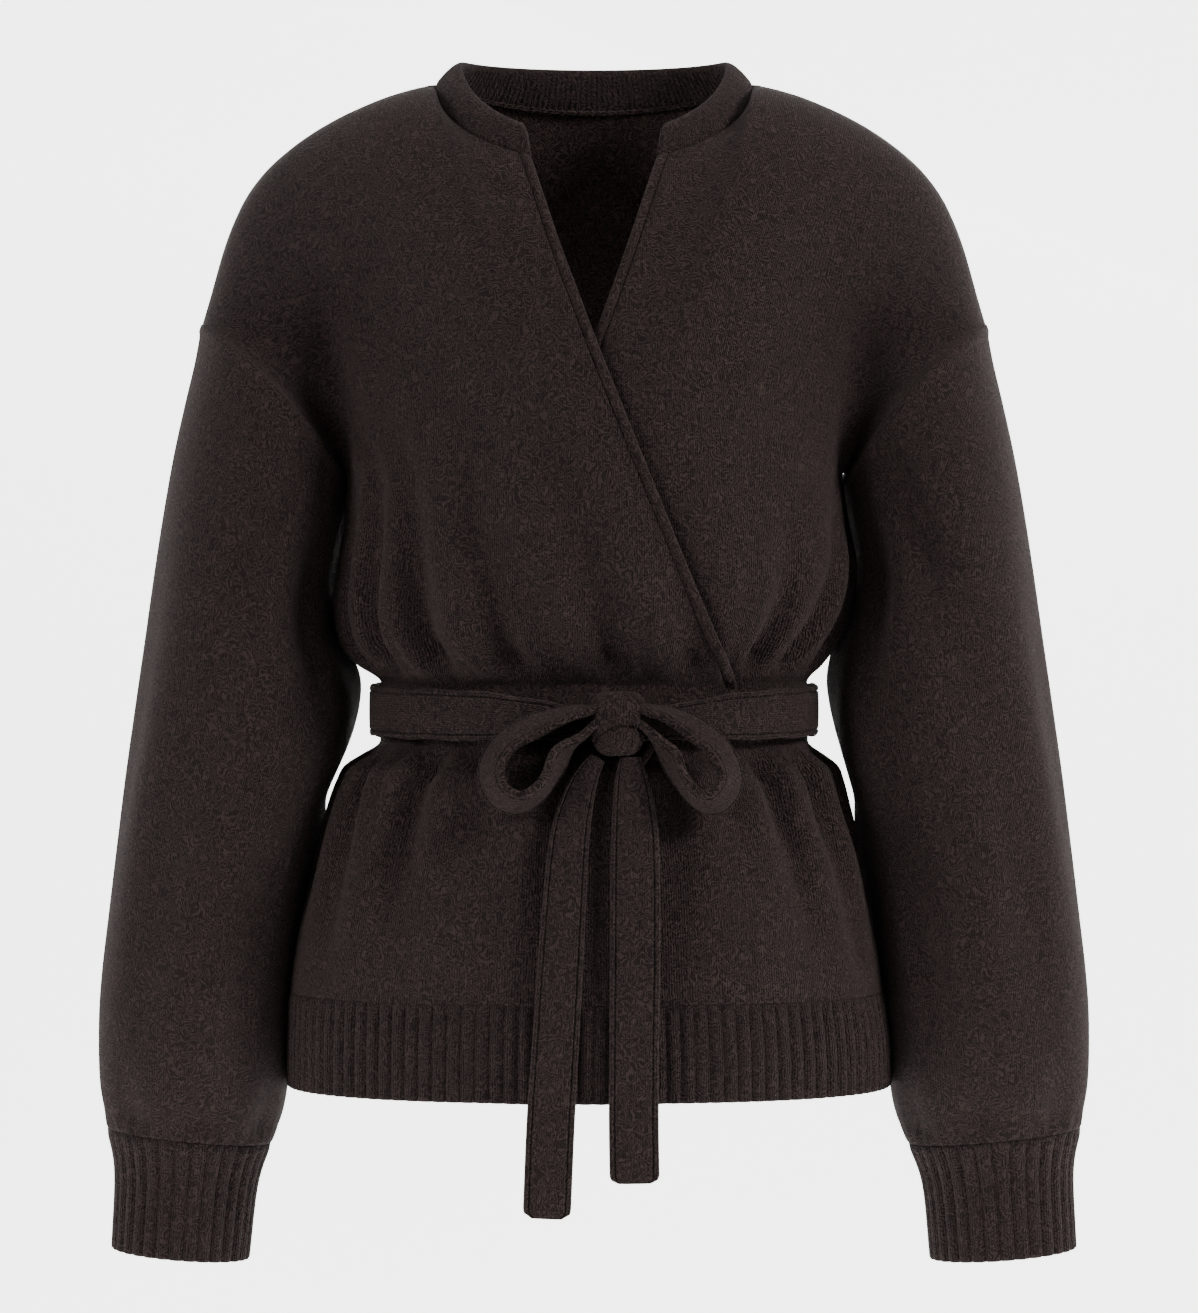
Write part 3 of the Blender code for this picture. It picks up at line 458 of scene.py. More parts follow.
def half_grid(side, front, columns, insets, levels, cap_steps):
    """Points of half the front or back, rows from the hem up, columns out to the side."""
    def angles_at(height):
        if not front:
            return side * (math.pi - columns * math.pi / 2)
        past = read(FRONT_EDGE, "past_centre", height) - insets
        return mix(edge_angle(height, -side * past), side * math.pi / 2, columns)

    rows, angles = [], []
    for height in levels:
        angles.append(angles_at(height) + 0 * columns)
        x, y = ring(BODY, angles[-1], height)
        rows.append(np.stack([x, y, np.full_like(x, height)], axis=-1))
    start = np.arcsin((NECK_END + insets) / NECK_HALF) if front else 0.0
    for up in cap_steps:
        angles.append(angles_at(UNDERARM) + 0 * columns)
        rows.append(upper_point(side, columns, np.full_like(columns, up), angles[-1],
                                start, front))
    return np.array(rows), np.array(angles)


CAP_STEPS = np.arange(1, 10) / 9
BODY_LEVELS = np.array([-536.8, -530, -521, -510, -498, -485, -471, -457, -443, -430, -419,
                        -410, -402, -395, -389, -382, -370, -358, -352, -348, -343, -336,
                        -328, -318, -306, -292, -276, -260, -244, UNDERARM])
NO_CAP = np.array([])
print("a panel has", len(BODY_LEVELS) + len(CAP_STEPS), "rows before it is refined")


# %% Which way the cloth faces
def outward(points, closed=False):
    """Unit normals of a grid of points, for columns that run to the wearer's left."""
    if closed:
        points = np.concatenate([points[:, -1:], points, points[:, :1]], axis=1)
    way = np.cross(np.gradient(points, axis=1), np.gradient(points, axis=0))
    length = np.linalg.norm(way, axis=-1, keepdims=True)
    way /= np.where(length > 0, length, 1)
    return way[:, 1:-1] if closed else way


def relaxed(points, first, times):
    """Evens out the rows from first up, holding the panel's borders where they are."""
    for _ in range(times):
        inner = (points[:-2, 1:-1] + points[2:, 1:-1] + points[1:-1, :-2]
                 + points[1:-1, 2:]) / 4
        points[first:-1, 1:-1] = mix(points[first:-1, 1:-1], inner[first - 1:], 0.5)
    return points


def side_seam(way, column, level_rows):
    """Turns the normals at a side seam to lie level, so that both panels agree there."""
    way[:level_rows, column, 1] = 0.0
    way[:, column] /= np.linalg.norm(way[:, column], axis=-1, keepdims=True)
    return way


print("normals are worked out from the grid's own rows and columns")

# %% [markdown]
# A knitted wall has two faces. Outside are the upright columns of V stitches that a
# knitter calls wales; inside are the level bumps of the purl side, which show through the
# neck opening. To let the pattern follow the cloth, each piece gets a UV map whose unit is
# the metre: U runs across the wales and V along them, as they lie on the flat piece.


# %% Making cloth from a grid
def mesh_piece(name, points, uv, faces_wanted, closed_across=False, closed_along=False,
               ends=False):
    """A quad mesh from a grid of points in millimetres, with its UV map in metres. A tube
    with ends gets a face over its first and its last row."""
    rows, columns = points.shape[:2]
    index = np.arange(rows * columns).reshape(rows, columns)
    if closed_across:
        index = np.concatenate([index, index[:, :1]], axis=1)
    if closed_along:
        index = np.concatenate([index, index[:1]], axis=0)
    faces = np.stack([index[:-1, :-1], index[:-1, 1:], index[1:, 1:], index[1:, :-1]],
                     axis=-1).reshape(-1, 4)
    if faces_wanted < 0:
        faces = faces[:, ::-1]
    r, c = np.meshgrid(np.arange(index.shape[0]), np.arange(index.shape[1]), indexing="ij")
    corner = np.stack([np.stack([g[:-1, :-1], g[:-1, 1:], g[1:, 1:], g[1:, :-1]], axis=-1)
                       for g in (r, c)], axis=-1).reshape(-1, 4, 2)
    if faces_wanted < 0:
        corner = corner[:, ::-1]
    faces, corner = faces.tolist(), corner.reshape(-1, 2)
    if ends:
        turn = -faces_wanted
        last = np.arange(columns)
        first_cap, last_cap = index[0, :-1][::turn], index[-1, :-1][::-turn]
        faces += [first_cap.tolist(), last_cap.tolist()]
        first_corner = np.stack([0 * last, last], axis=-1)[::turn]
        last_corner = np.stack([0 * last + rows - 1, last], axis=-1)[::-turn]
        corner = np.concatenate([corner, first_corner, last_corner])
    mesh = bpy.data.meshes.new(name)
    mesh.from_pydata((points.reshape(-1, 3) * MM).tolist(), [], faces)
    layer = mesh.uv_layers.new(name="knit")
    layer.data.foreach_set("uv", (uv[corner[:, 0], corner[:, 1]] * MM).ravel())
    mesh.shade_smooth()
    piece = bpy.data.objects.new(name, mesh)
    bpy.context.scene.collection.objects.link(piece)
    return piece


def give_wall(piece, outside, inside, thickness=2.5):
    """Gives a sheet its thickness inwards, with the purl side on its inner face."""
    piece.data.materials.append(outside)
    piece.data.materials.append(inside)
    wall = piece.modifiers.new("wall", "SOLIDIFY")
    wall.thickness = thickness * MM
    wall.offset = -1.0
    wall.material_offset = 1
    bpy.ops.object.select_all(action="DESELECT")
    piece.select_set(True)
    bpy.context.view_layer.objects.active = piece
    bpy.ops.object.modifier_apply(modifier=wall.name)
    return piece


def settle(piece, slot, *nodes):
    """Rides the one body and stands for its nodes. The slot is not used."""
    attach(piece, "root")
    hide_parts(*nodes)
    print(piece.name, "has", sum(len(face.vertices) - 2 for face in piece.data.polygons),
          "triangles")
    return piece


print("one unit of a UV map is one metre of cloth")


# %% Laying the cloth's pattern
def run_lengths(points, axis):
    """How far each point lies along its row or column of the grid."""
    steps = np.linalg.norm(np.diff(points, axis=axis), axis=-1)
    start = np.zeros_like(np.take(steps, [0], axis=axis))
    return np.concatenate([start, np.cumsum(steps, axis=axis)], axis=axis)


CHEST_ANGLES = np.linspace(-math.pi, 2 * math.pi, 1081)
chest_heights = np.full_like(CHEST_ANGLES, UNDERARM)
chest_ring = np.stack(ring(BODY, CHEST_ANGLES, chest_heights), axis=-1)
CHEST_RUN = run_lengths(chest_ring, 0)
CHEST_RUN -= np.interp(0.0, CHEST_ANGLES, CHEST_RUN)


def panel_uv(points, angles, level_rows, centre):
    """U by the place round the chest, V by height, and above the underarm by length."""
    u = np.interp(angles, CHEST_ANGLES, CHEST_RUN)
    v = points[..., 2].copy()
    across, up = run_lengths(points, 1), run_lengths(points, 0)
    cap = slice(level_rows, None)
    middle = across[cap, centre:centre + 1]
    way = np.sign(u[level_rows - 1, -1] - u[level_rows - 1, 0])
    edge = points[:, centre:centre + 1, 0]
    turned = way * np.sign(points[0, -1, 0] - points[0, 0, 0])
    start = u[level_rows - 1, centre] + (edge[cap] - edge[level_rows - 1]) * turned
    u[cap] = start + (across[cap] - middle) * way
    v[cap] = UNDERARM + up[cap] - up[level_rows - 1]
    return np.stack([u, v], axis=-1)


print("round the chest it is", round(np.interp(math.pi, CHEST_ANGLES, CHEST_RUN) * 2), "mm")

# %% [markdown]
# The yarn is a soft carded wool, knitted and then washed until its fibres mat a little. To
# the eye that gives three things: columns of V stitches about 2.6 mm apart, a blur of
# loose fibres that hides some of them, and a dull bloom at the rim, which sheen gives. The
# stitches are worked out with arithmetic from the UV map, so they follow every fold.

# %% The knit materials
WALE, COURSE = 2.6 * MM, 2.1 * MM
# The first yarn colour is painted shade for the gaps between the stitches; the second is the yarn's own brown
# and the third its paler loose fibres.
STITCH_GAP_PAINTED_SHADE, YARN_MID, YARN_FIBRE = "0d0807", "261c1a", "4f413e"


def knit_material(name, kind, wale=WALE, course=COURSE, tone=1.0, relief=0.0015):
    """Felted wool. kind is stocking for V stitches, purl for the inner side, or rib for
    the fine ribs of the collar's lining."""
    material = new_material(name)
    tree = material.node_tree
    add(tree, "uv", "ShaderNodeUVMap", uv_map="knit")
    add(tree, "place", "ShaderNodeTexCoord")
    add(tree, "wander", "ShaderNodeTexNoise", {"Vector": ("place", 3), "Scale": 160.0,
                                               "Detail": 2.0})
    add(tree, "wander_centred", "ShaderNodeVectorMath", {0: ("wander", 1),
                                                         1: (0.5, 0.5, 0.5)},
        operation="SUBTRACT")
    add(tree, "wander_small", "ShaderNodeVectorMath", {0: "wander_centred"},
        operation="SCALE").inputs["Scale"].default_value = 0.0016
    add(tree, "uv_bent", "ShaderNodeVectorMath", {0: "uv", 1: "wander_small"},
        operation="ADD")
    add(tree, "split", "ShaderNodeSeparateXYZ", {0: "uv_bent"})
    add(tree, "across", "ShaderNodeMath", {0: ("split", 0), 1: wale}, operation="DIVIDE")
    add(tree, "along", "ShaderNodeMath", {0: ("split", 1), 1: course}, operation="DIVIDE")
    add(tree, "in_wale", "ShaderNodeMath", {0: "across"}, operation="FRACT")
    add(tree, "from_middle", "ShaderNodeMath", {0: "in_wale", 1: 0.5}, operation="SUBTRACT")
    add(tree, "arm", "ShaderNodeMath", {0: "from_middle"}, operation="ABSOLUTE")
    if kind == "stocking":
        add(tree, "slant", "ShaderNodeMath", {0: "arm", 1: 1.7, 2: "along"},
            operation="MULTIPLY_ADD")
        add(tree, "leg", "ShaderNodeMath", {0: "arm", 1: 2 * math.pi}, operation="MULTIPLY")
        add(tree, "leg_round", "ShaderNodeMath", {0: "leg"}, operation="SINE")
    elif kind == "purl":
        add(tree, "turn", "ShaderNodeMath", {0: "across", 1: 2 * math.pi},
            operation="MULTIPLY")
        add(tree, "arc", "ShaderNodeMath", {0: "turn"}, operation="COSINE")
        add(tree, "slant", "ShaderNodeMath", {0: "arc", 1: 0.18, 2: "along"},
            operation="MULTIPLY_ADD")
        add(tree, "leg_round", "ShaderNodeMath", {0: 0.85, 1: 0.0}, operation="ADD")
    else:
        add(tree, "slant", "ShaderNodeMath", {0: "along", 1: 0.0}, operation="ADD")
        add(tree, "leg", "ShaderNodeMath", {0: "in_wale", 1: math.pi}, operation="MULTIPLY")
        add(tree, "leg_round", "ShaderNodeMath", {0: "leg"}, operation="SINE")
    add(tree, "in_course", "ShaderNodeMath", {0: "slant"}, operation="FRACT")
    add(tree, "course_turn", "ShaderNodeMath", {0: "in_course", 1: math.pi},
        operation="MULTIPLY")
    add(tree, "course_round", "ShaderNodeMath", {0: "course_turn"}, operation="SINE")
    depth = 0.2 if kind == "rib" else 0.6
    add(tree, "course_full", "ShaderNodeMath", {0: "course_round", 1: depth, 2: 1 - depth},
        operation="MULTIPLY_ADD")
    add(tree, "stitch", "ShaderNodeMath", {0: "leg_round", 1: "course_full"},
        operation="MULTIPLY")
    add(tree, "curl", "ShaderNodeTexNoise", {"Vector": ("place", 3), "Scale": 170.0,
                                             "Detail": 1.0, "Roughness": 0.4,
                                             "Distortion": 0.4})
    add(tree, "curl_turn", "ShaderNodeMath", {0: ("curl", 0), 1: 2 * math.pi / 0.13},
        operation="MULTIPLY")
    add(tree, "curl_wave", "ShaderNodeMath", {0: "curl_turn"}, operation="SINE")
    add(tree, "fibre_share", "ShaderNodeMapRange", {0: "curl_wave", 1: -0.4, 2: 1.0,
                                                    3: 0.0, 4: 1.0})
    add(tree, "mat", "ShaderNodeTexNoise", {"Vector": ("place", 3), "Scale": 110.0,
                                            "Detail": 3.0, "Roughness": 0.6})
    add(tree, "mat_share", "ShaderNodeMapRange", {0: "mat", 1: 0.36, 2: 0.64, 3: 0.34,
                                                  4: 0.50})
    add(tree, "surface", "ShaderNodeMix", {0: "mat_share", 2: "stitch", 3: "fibre_share"},
        data_type="FLOAT")
    add(tree, "bump", "ShaderNodeBump", {"Height": "surface", "Strength": 1.0,
                                         "Distance": relief})
    colour_yarn_and_gap_shade(tree, tone)
    add(tree, "output", "ShaderNodeOutputMaterial", {"Surface": "shader"})
    return material


def colour_yarn_and_gap_shade(tree, tone):
    """Painted shade between the stitches, brown on them, with paler fibres lying on top."""
    # The stitch height drives the colour, so its low places get the painted shade.
    add(tree, "yarn", "ShaderNodeValToRGB", {0: "surface"})
    ramp = tree.nodes["yarn"].color_ramp
    ramp.elements[0].position, ramp.elements[1].position = 0.10, 0.75
    for element, code in zip(ramp.elements, (STITCH_GAP_PAINTED_SHADE, YARN_MID)):
        colour = linear(code)
        element.color = [part * tone for part in colour[:3]] + [1.0]
    add(tree, "fibre_seen", "ShaderNodeMath", {0: "fibre_share", 1: 0.22},
        operation="MULTIPLY")
    pale = [part * tone for part in linear(YARN_FIBRE)[:3]] + [1.0]
    add(tree, "colour", "ShaderNodeMix", {0: "fibre_seen", 6: ("yarn", 0), 7: pale},
        data_type="RGBA")
    add(tree, "shader", "ShaderNodeBsdfPrincipled",
        {"Base Color": ("colour", 2), "Roughness": 0.95, "Normal": "bump",
         "IOR": 1.45, "Specular IOR Level": 0.15, "Sheen Weight": 0.06,
         "Sheen Roughness": 0.5, "Sheen Tint": linear("b9a39d")})


panel_knit = knit_material("felted_wool_stocking_stitch", "stocking")
purl_knit = knit_material("felted_wool_purl_side", "purl", tone=1.15)
print("wales are", WALE / MM, "mm apart and courses", COURSE / MM, "mm")

# %% [markdown]
# The back and the two fronts are the large pieces. Each is laid out as a coarse grid on
# the body's rings, refined along smooth curves, evened out over the shoulders, and then
# pushed in and out by the gathers and creases. The wearer's right front lies on top, so
# it is lifted where it crosses the left one, which sinks a little below it.

# %% The back
LEVEL_STEPS, CAP_STEPS_EACH = 3, 9
FRONT_STEPS, BACK_STEPS = 24, 30
PANEL_INSET = 7.1
LEVEL_ROWS = (len(BODY_LEVELS) - 1) * LEVEL_STEPS + 1


def finely(grid, column_steps):
    """A panel's grid with rows about 3 mm apart and columns this many times closer."""
    low = np.linspace(0, len(BODY_LEVELS) - 1, LEVEL_ROWS)
    high = len(BODY_LEVELS) - 1 + np.linspace(0, len(CAP_STEPS), len(CAP_STEPS)
                                              * CAP_STEPS_EACH + 1)[1:]
    grid = through(grid, np.concatenate([low, high]))
    across = np.swapaxes(grid, 0, 1)
    wide = len(across) - 1
    return np.swapaxes(through(across, np.linspace(0, wide, wide * column_steps + 1)), 0, 1)


def shaped(points, angles, way, front, near_arm, strength=1.0):
    """Pushes a fine panel in and out by gathers and creases."""
    gathers = belt_folds(FOLDS, angles, points[..., 2])
    gathers += 0.45 * belt_folds(SMALL_FOLDS, angles, points[..., 2])
    move = 1.7 * gathers * strength + creases(points, front) * near_arm
    print("deepest gather", round(float(-gathers.min()), 1), "mm")
    return points + way * move[..., None]


columns = np.linspace(-1, 1, BACK_STEPS + 1)
right_half = half_grid(-1, False, -columns[columns < 0], 0.0, BODY_LEVELS, CAP_STEPS)
left_half = half_grid(1, False, columns[columns >= 0], 0.0, BODY_LEVELS, CAP_STEPS)
points = np.concatenate([right_half[0], left_half[0]], axis=1)
angles = np.concatenate([right_half[1], left_half[1]], axis=1)
angles = np.where(angles < 0, angles + 2 * math.pi, angles)
points, angles = finely(points, 4), finely(angles, 4)
back_uv = panel_uv(points, angles, LEVEL_ROWS, points.shape[1] // 2)
points = relaxed(points, LEVEL_ROWS, 12)
way = -outward(points)
for column in (0, -1):
    way = side_seam(way, column, LEVEL_ROWS)
from_arm = 1 - np.abs(np.linspace(-1, 1, points.shape[1]))
points = shaped(points, angles, way, False, smoothstep(from_arm / 0.08))
points[..., 1] += SEAM_GAP / 2
back = mesh_piece("knitted_back", points, back_uv, -1)
give_wall(back, panel_knit, purl_knit)
settle(back, "body_knit", "back")


# %% The fronts
V_OPENING = 2.8


def front_form(side, columns, inset, levels, caps, fine=None):
    """Points and angles of a front from its edge to its side."""
    points, angles = half_grid(side, True, columns, inset, levels, caps)
    if fine:
        points, angles = finely(points, fine), finely(angles, fine)
    return points, angles


def laid_over(side, points, angles, way, near_arm):
    """Gathers and creases of a front, and the step where one front lies on the other."""
    past = read(FRONT_EDGE, "past_centre", points[..., 2])
    if side == OVER:
        lift = FRONT_LIFT * smoothstep((points[..., 0] + past + LIFT_START) / LIFT_RUN)
        points = shaped(points, angles, way, True, near_arm)
    else:
        covered = smoothstep((past + UNDER_START - points[..., 0]) / LIFT_RUN)
        points = shaped(points, angles, way, True, near_arm)
        lift = -UNDER_DROP * covered
    points = points + way * lift[..., None]
    up = np.clip((points[..., 2] - UNDERARM) / (-48.0 - UNDERARM), 0, 1)
    near_edge = smoothstep(1 - (side * points[..., 0] + past) / 60.0)
    points[..., 0] += side * V_OPENING * np.sin(math.pi * up) * near_edge
    points[..., 1] -= SEAM_GAP / 2
    return points


fronts = {}
for side, word in ((OVER, "right"), (UNDER, "left")):
    columns = np.linspace(0, 1, FRONT_STEPS + 1)
    points, angles = front_form(side, columns, PANEL_INSET, BODY_LEVELS, CAP_STEPS, 3)
    uv = panel_uv(points, angles, LEVEL_ROWS, 0)
    points = relaxed(points, LEVEL_ROWS, 12)
    way = side_seam(side * outward(points), -1, LEVEL_ROWS)
    near_arm = smoothstep((1 - np.linspace(0, 1, points.shape[1])) / 0.08)
    points = laid_over(side, points, angles, way, near_arm)
    fronts[word] = mesh_piece("knitted_front_" + word, points, uv, side)
    give_wall(fronts[word], panel_knit, purl_knit)
    settle(fronts[word], "body_knit", "front_" + word)

# %% [markdown]
# The slanted edge of each front is finished with a narrow tubular band, knitted on along
# the edge and stitched down in two rows. It is 7 mm wide and stands a little proud.

# %% The edge bands
TRIM_WIDTH = 7.0
TRIM_LEVELS = np.concatenate([[HEM_BOTTOM, -579.0, -565.0, -551.0], BODY_LEVELS])
TRIM_STITCH = 1.7


def crown(share):
    """The band's rounded back, with the two stitched rows pressed into it."""
    rows = sum(np.exp(-((share - place) * TRIM_WIDTH / 0.35) ** 2) for place in
               (0.5 - TRIM_STITCH / TRIM_WIDTH, 0.5 + TRIM_STITCH / TRIM_WIDTH))
    return 1.1 - 2.3 * np.abs(2 * share - 1) ** 3 - 0.45 * rows


trim_knit = knit_material("felted_wool_tubular_edge", "stocking", wale=1.7 * MM,
                          relief=0.0008)
edge_shares = np.linspace(0, 1, 19)
bands = {}
for side, word in ((OVER, "right"), (UNDER, "left")):
    points, angles = half_grid(side, True, np.zeros(19), edge_shares * TRIM_WIDTH,
                               TRIM_LEVELS, CAP_STEPS)
    places = np.arange(0, len(points) - 1 + 0.01, 0.25)
    points, angles = through(points, places), through(angles, places)
    length = run_lengths(points, 0)[:, 9:10]
    uv = np.stack([(edge_shares * TRIM_WIDTH)[None] + 0 * length, length
                   + 0 * edge_shares[None]], axis=-1)
    way = side * outward(points)
    points = laid_over(side, points, angles, way, 0.0)
    points = points + way * crown(edge_shares)[None, :, None]
    bands[word] = mesh_piece("edge_band_" + word, points, uv, side)
    give_wall(bands[word], trim_knit, trim_knit, 3.0)
    settle(bands[word], "body_knit", "trim_" + word)

# %% [markdown]
# Ribbing is knitted from knit and purl columns side by side, so it springs together into
# upright ridges. The hem and the cuffs have it. Each ridge shows two wales of V stitches,
# and the purl column between two ridges sinks out of sight.

# %% Ribs
RIB_CREST, RIB_VALLEY, POINTS_PER_RIB = 0.9, -1.3, 8
HEM_RIBS_FRONT, HEM_RIBS_BACK, CUFF_RIBS = 31, 54, 30


def rib_relief(ribs, count, below_top, above_bottom):
    """How far the ribs stand out: they fade in below the seam and round off at the end."""
    turn = np.linspace(0, ribs * math.pi, count)
    ridge = mix(RIB_VALLEY, RIB_CREST, np.abs(np.sin(turn)) ** 0.75)[None]
    start = smoothstep(below_top / 5.0)
    end = np.sqrt(np.clip(1 - (1 - np.clip(above_bottom / 1.6, 0, 1)) ** 2, 0, 1))
    return ridge * mix(0.25, 1.0, start) - 1.3 * (1 - end)


def rib_uv(ribs, count, run):
    """Three wales to a rib, with the purl one in the valley."""
    across = np.linspace(0, ribs * 3, count) * WALE / MM - WALE / MM / 2
    return np.stack([across[None] + 0 * run, run + 0 * across[None]], axis=-1)


def even_columns(side, front, inset, shares, level):
    """Column places that are evenly spaced along the cloth at a level."""
    fine = np.linspace(0, 1, 801)
    ring_points, _ = half_grid(side, front, fine, inset, [level], NO_CAP)
    run = run_lengths(ring_points, 1)[0]
    return np.interp(shares, run / run[-1], fine)


rib_knit = knit_material("felted_wool_two_by_one_rib", "stocking", tone=0.88)
HEM_ROWS = np.concatenate([np.linspace(HEM_BOTTOM, HEM_BOTTOM + 2, 6),
                           np.linspace(HEM_BOTTOM + 5, RIB_TOP - 0.1, 16)])
hem_run = (HEM_ROWS - HEM_BOTTOM)[:, None]
hem_below_top = (RIB_TOP - HEM_ROWS)[:, None]
hems = {}
for side, word in ((OVER, "right"), (UNDER, "left")):
    count = HEM_RIBS_FRONT * POINTS_PER_RIB + 1
    columns = even_columns(side, True, PANEL_INSET, np.linspace(0, 1, count), -565.0)
    points, angles = half_grid(side, True, columns, PANEL_INSET, HEM_ROWS, NO_CAP)
    way = side_seam(side * outward(points), -1, len(HEM_ROWS))
    points = laid_over(side, points, angles, way, 0.0)
    relief = rib_relief(HEM_RIBS_FRONT, count, hem_below_top, hem_run)
    points = points + way * relief[..., None]
    uv = rib_uv(HEM_RIBS_FRONT, count, hem_run)
    hems[word] = mesh_piece("ribbed_hem_" + word, points, uv, side)
    give_wall(hems[word], rib_knit, rib_knit, 2.2)
    settle(hems[word], "rib_knit", "hem_" + word)

# %% The back's ribs
half_count = HEM_RIBS_BACK // 2 * POINTS_PER_RIB + 1
shares = even_columns(1, False, 0.0, np.linspace(0, 1, half_count), -565.0)
left_half = half_grid(1, False, shares, 0.0, HEM_ROWS, NO_CAP)[0]
right_half = half_grid(-1, False, shares, 0.0, HEM_ROWS, NO_CAP)[0]
points = np.concatenate([right_half[:, :0:-1], left_half], axis=1)
way = -outward(points)
for column in (0, -1):
    way = side_seam(way, column, len(HEM_ROWS))
count = points.shape[1]
points = points + way * rib_relief(HEM_RIBS_BACK, count, hem_below_top, hem_run)[..., None]
points[..., 1] += SEAM_GAP / 2
hems["back"] = mesh_piece("ribbed_hem_back", points,
                          rib_uv(HEM_RIBS_BACK, count, hem_run), -1)
give_wall(hems["back"], rib_knit, rib_knit, 2.2)
settle(hems["back"], "rib_knit", "hem_back")

# %% [markdown]
# The sleeves are wide balloons that start low on the arm, at a dropped shoulder, and are
# gathered into long cuffs. Soft waves run down from the underarm, and the last few
# centimetres pucker where many wales meet fewer in the cuff. In the table below, turn is
# the place round the sleeve: 0 underneath, a quarter at the front, a half outside.

# %% Sleeve form
SLEEVE_GATHERS = table("turn reach depth half_width", [
    (0.08, 70, 4.0, 0.035), (0.22, 95, 3.5, 0.04), (0.36, 60, 4.0, 0.035),
    (0.50, 80, 3.0, 0.04), (0.64, 90, 3.5, 0.04), (0.80, 65, 4.0, 0.035),
    (0.93, 85, 3.5, 0.035),
])
SLEEVE_WAVES = table("turn place far_turn far_place depth half_width", [
    (0.06, 0.02, 0.15, 0.46, 6.4, 0.030), (0.14, 0.00, 0.24, 0.34, 4.8, 0.030),
    (0.20, 0.12, 0.34, 0.62, 3.8, 0.045), (0.30, 0.40, 0.33, 0.98, 4.2, 0.045),
    (0.12, 0.48, 0.16, 0.99, 5.1, 0.035), (0.42, 0.20, 0.46, 0.80, 2.9, 0.040),
    (0.94, 0.02, 0.86, 0.46, 6.4, 0.030), (0.86, 0.00, 0.76, 0.34, 4.8, 0.030),
    (0.80, 0.12, 0.66, 0.62, 3.8, 0.045), (0.70, 0.40, 0.68, 0.98, 4.2, 0.045),
    (0.88, 0.48, 0.84, 0.99, 5.1, 0.035), (0.57, 0.22, 0.55, 0.82, 2.9, 0.040),
])
SLEEVE_PRESS = table("height depth", [
    (0, 0), (0.02, 7), (0.30, 11), (0.38, 5), (0.43, 0), (0.47, 1), (0.53, 8), (0.70, 8),
    (0.95, 6), (1.0, 0),
])
ARM_GAP = 0.35


def arm_rings(rows, side, turns):
    """Rings of a sleeve or cuff, each from its inner point at turn 0 to its outer at pi."""
    inner = rows["inner_left" if side > 0 else "inner_right"]
    half_turn = (1 - np.cos(turns))[None] / 2
    x = side * mix(inner[:, None], rows["outer"][:, None], half_turn)
    z = mix(rows["inner_height"][:, None], rows["outer_height"][:, None], half_turn)
    y = -rows["depth"][:, None] * np.sin(turns)[None] - rows["forward"][:, None]
    return np.stack([x, y, z], axis=-1)


def sleeve_move(turns, place, above_cuff):
    """How far the gathers, waves and puckers push the sleeve in."""
    share = turns[None] / (2 * math.pi)
    move = np.zeros(np.broadcast(share, place).shape)
    for turn, reach, depth, half in zip(*SLEEVE_GATHERS.values()):
        off = (share - turn + 0.5) % 1 - 0.5
        fade = smoothstep(above_cuff / 12.0) * (1 - smoothstep(above_cuff / reach))
        move -= depth * fade * np.exp(-(off / half) ** 2)
    for t0, p0, t1, p1, depth, half in zip(*SLEEVE_WAVES.values()):
        run = (place - p0) / (p1 - p0)
        off = (share - mix(t0, t1, np.clip(run, 0, 1)) + 0.5) % 1 - 0.5
        fade = np.sin(np.pi * np.clip(run, 0, 1)) ** 1.5
        move -= depth * fade * np.exp(-(off / half) ** 2)
    pressed = np.exp(-(((share - 0.93 + 0.5) % 1 - 0.5) / 0.045) ** 2)
    move += read(SLEEVE_PRESS, "depth", place) * pressed
    pucker = smoothstep(above_cuff / 2.5) * (1 - smoothstep(above_cuff / 22.0))
    welt = 0.9 * np.exp(-((place * 400.0 - 3.0) / 2.0) ** 2)
    return move + welt + 0.7 * pucker * np.cos(CUFF_RIBS * turns)[None]


print("a sleeve has", len(SLEEVE["outer"]), "rings, and", len(SLEEVE_WAVES["turn"]), "waves")

# %% Sleeves
SLEEVE_ROWS_EACH, SLEEVE_AROUND = 10, 108
sleeves, cuffs = {}, {}
turns = np.linspace(0, 2 * math.pi, SLEEVE_AROUND + 1)
for side, word in ((-1, "right"), (1, "left")):
    points = arm_rings(SLEEVE, side, turns)
    points[0] = armhole(side, turns) + arm_axis(side)[2] * ARM_GAP
    at = np.linspace(0, len(points) - 1, (len(points) - 1) * SLEEVE_ROWS_EACH + 1)
    points = through(points, at)[:, :-1]
    run = run_lengths(points, 0)
    way = -side * outward(points, closed=True)
    above_cuff = points[..., 2] - points[-1:, :, 2]
    move = sleeve_move(turns[:-1], run / run[-1:], above_cuff)
    points = points + way * move[..., None]
    around = np.linspace(0, 400.0, SLEEVE_AROUND + 1)
    run = np.concatenate([run, run[:, :1]], axis=1)
    uv = np.stack([around[None] + 0 * run, -run], axis=-1)
    sleeves[word] = mesh_piece("balloon_sleeve_" + word, points, uv, -side,
                               closed_across=True)
    give_wall(sleeves[word], panel_knit, purl_knit)
    settle(sleeves[word], "body_knit", "sleeve_" + word)

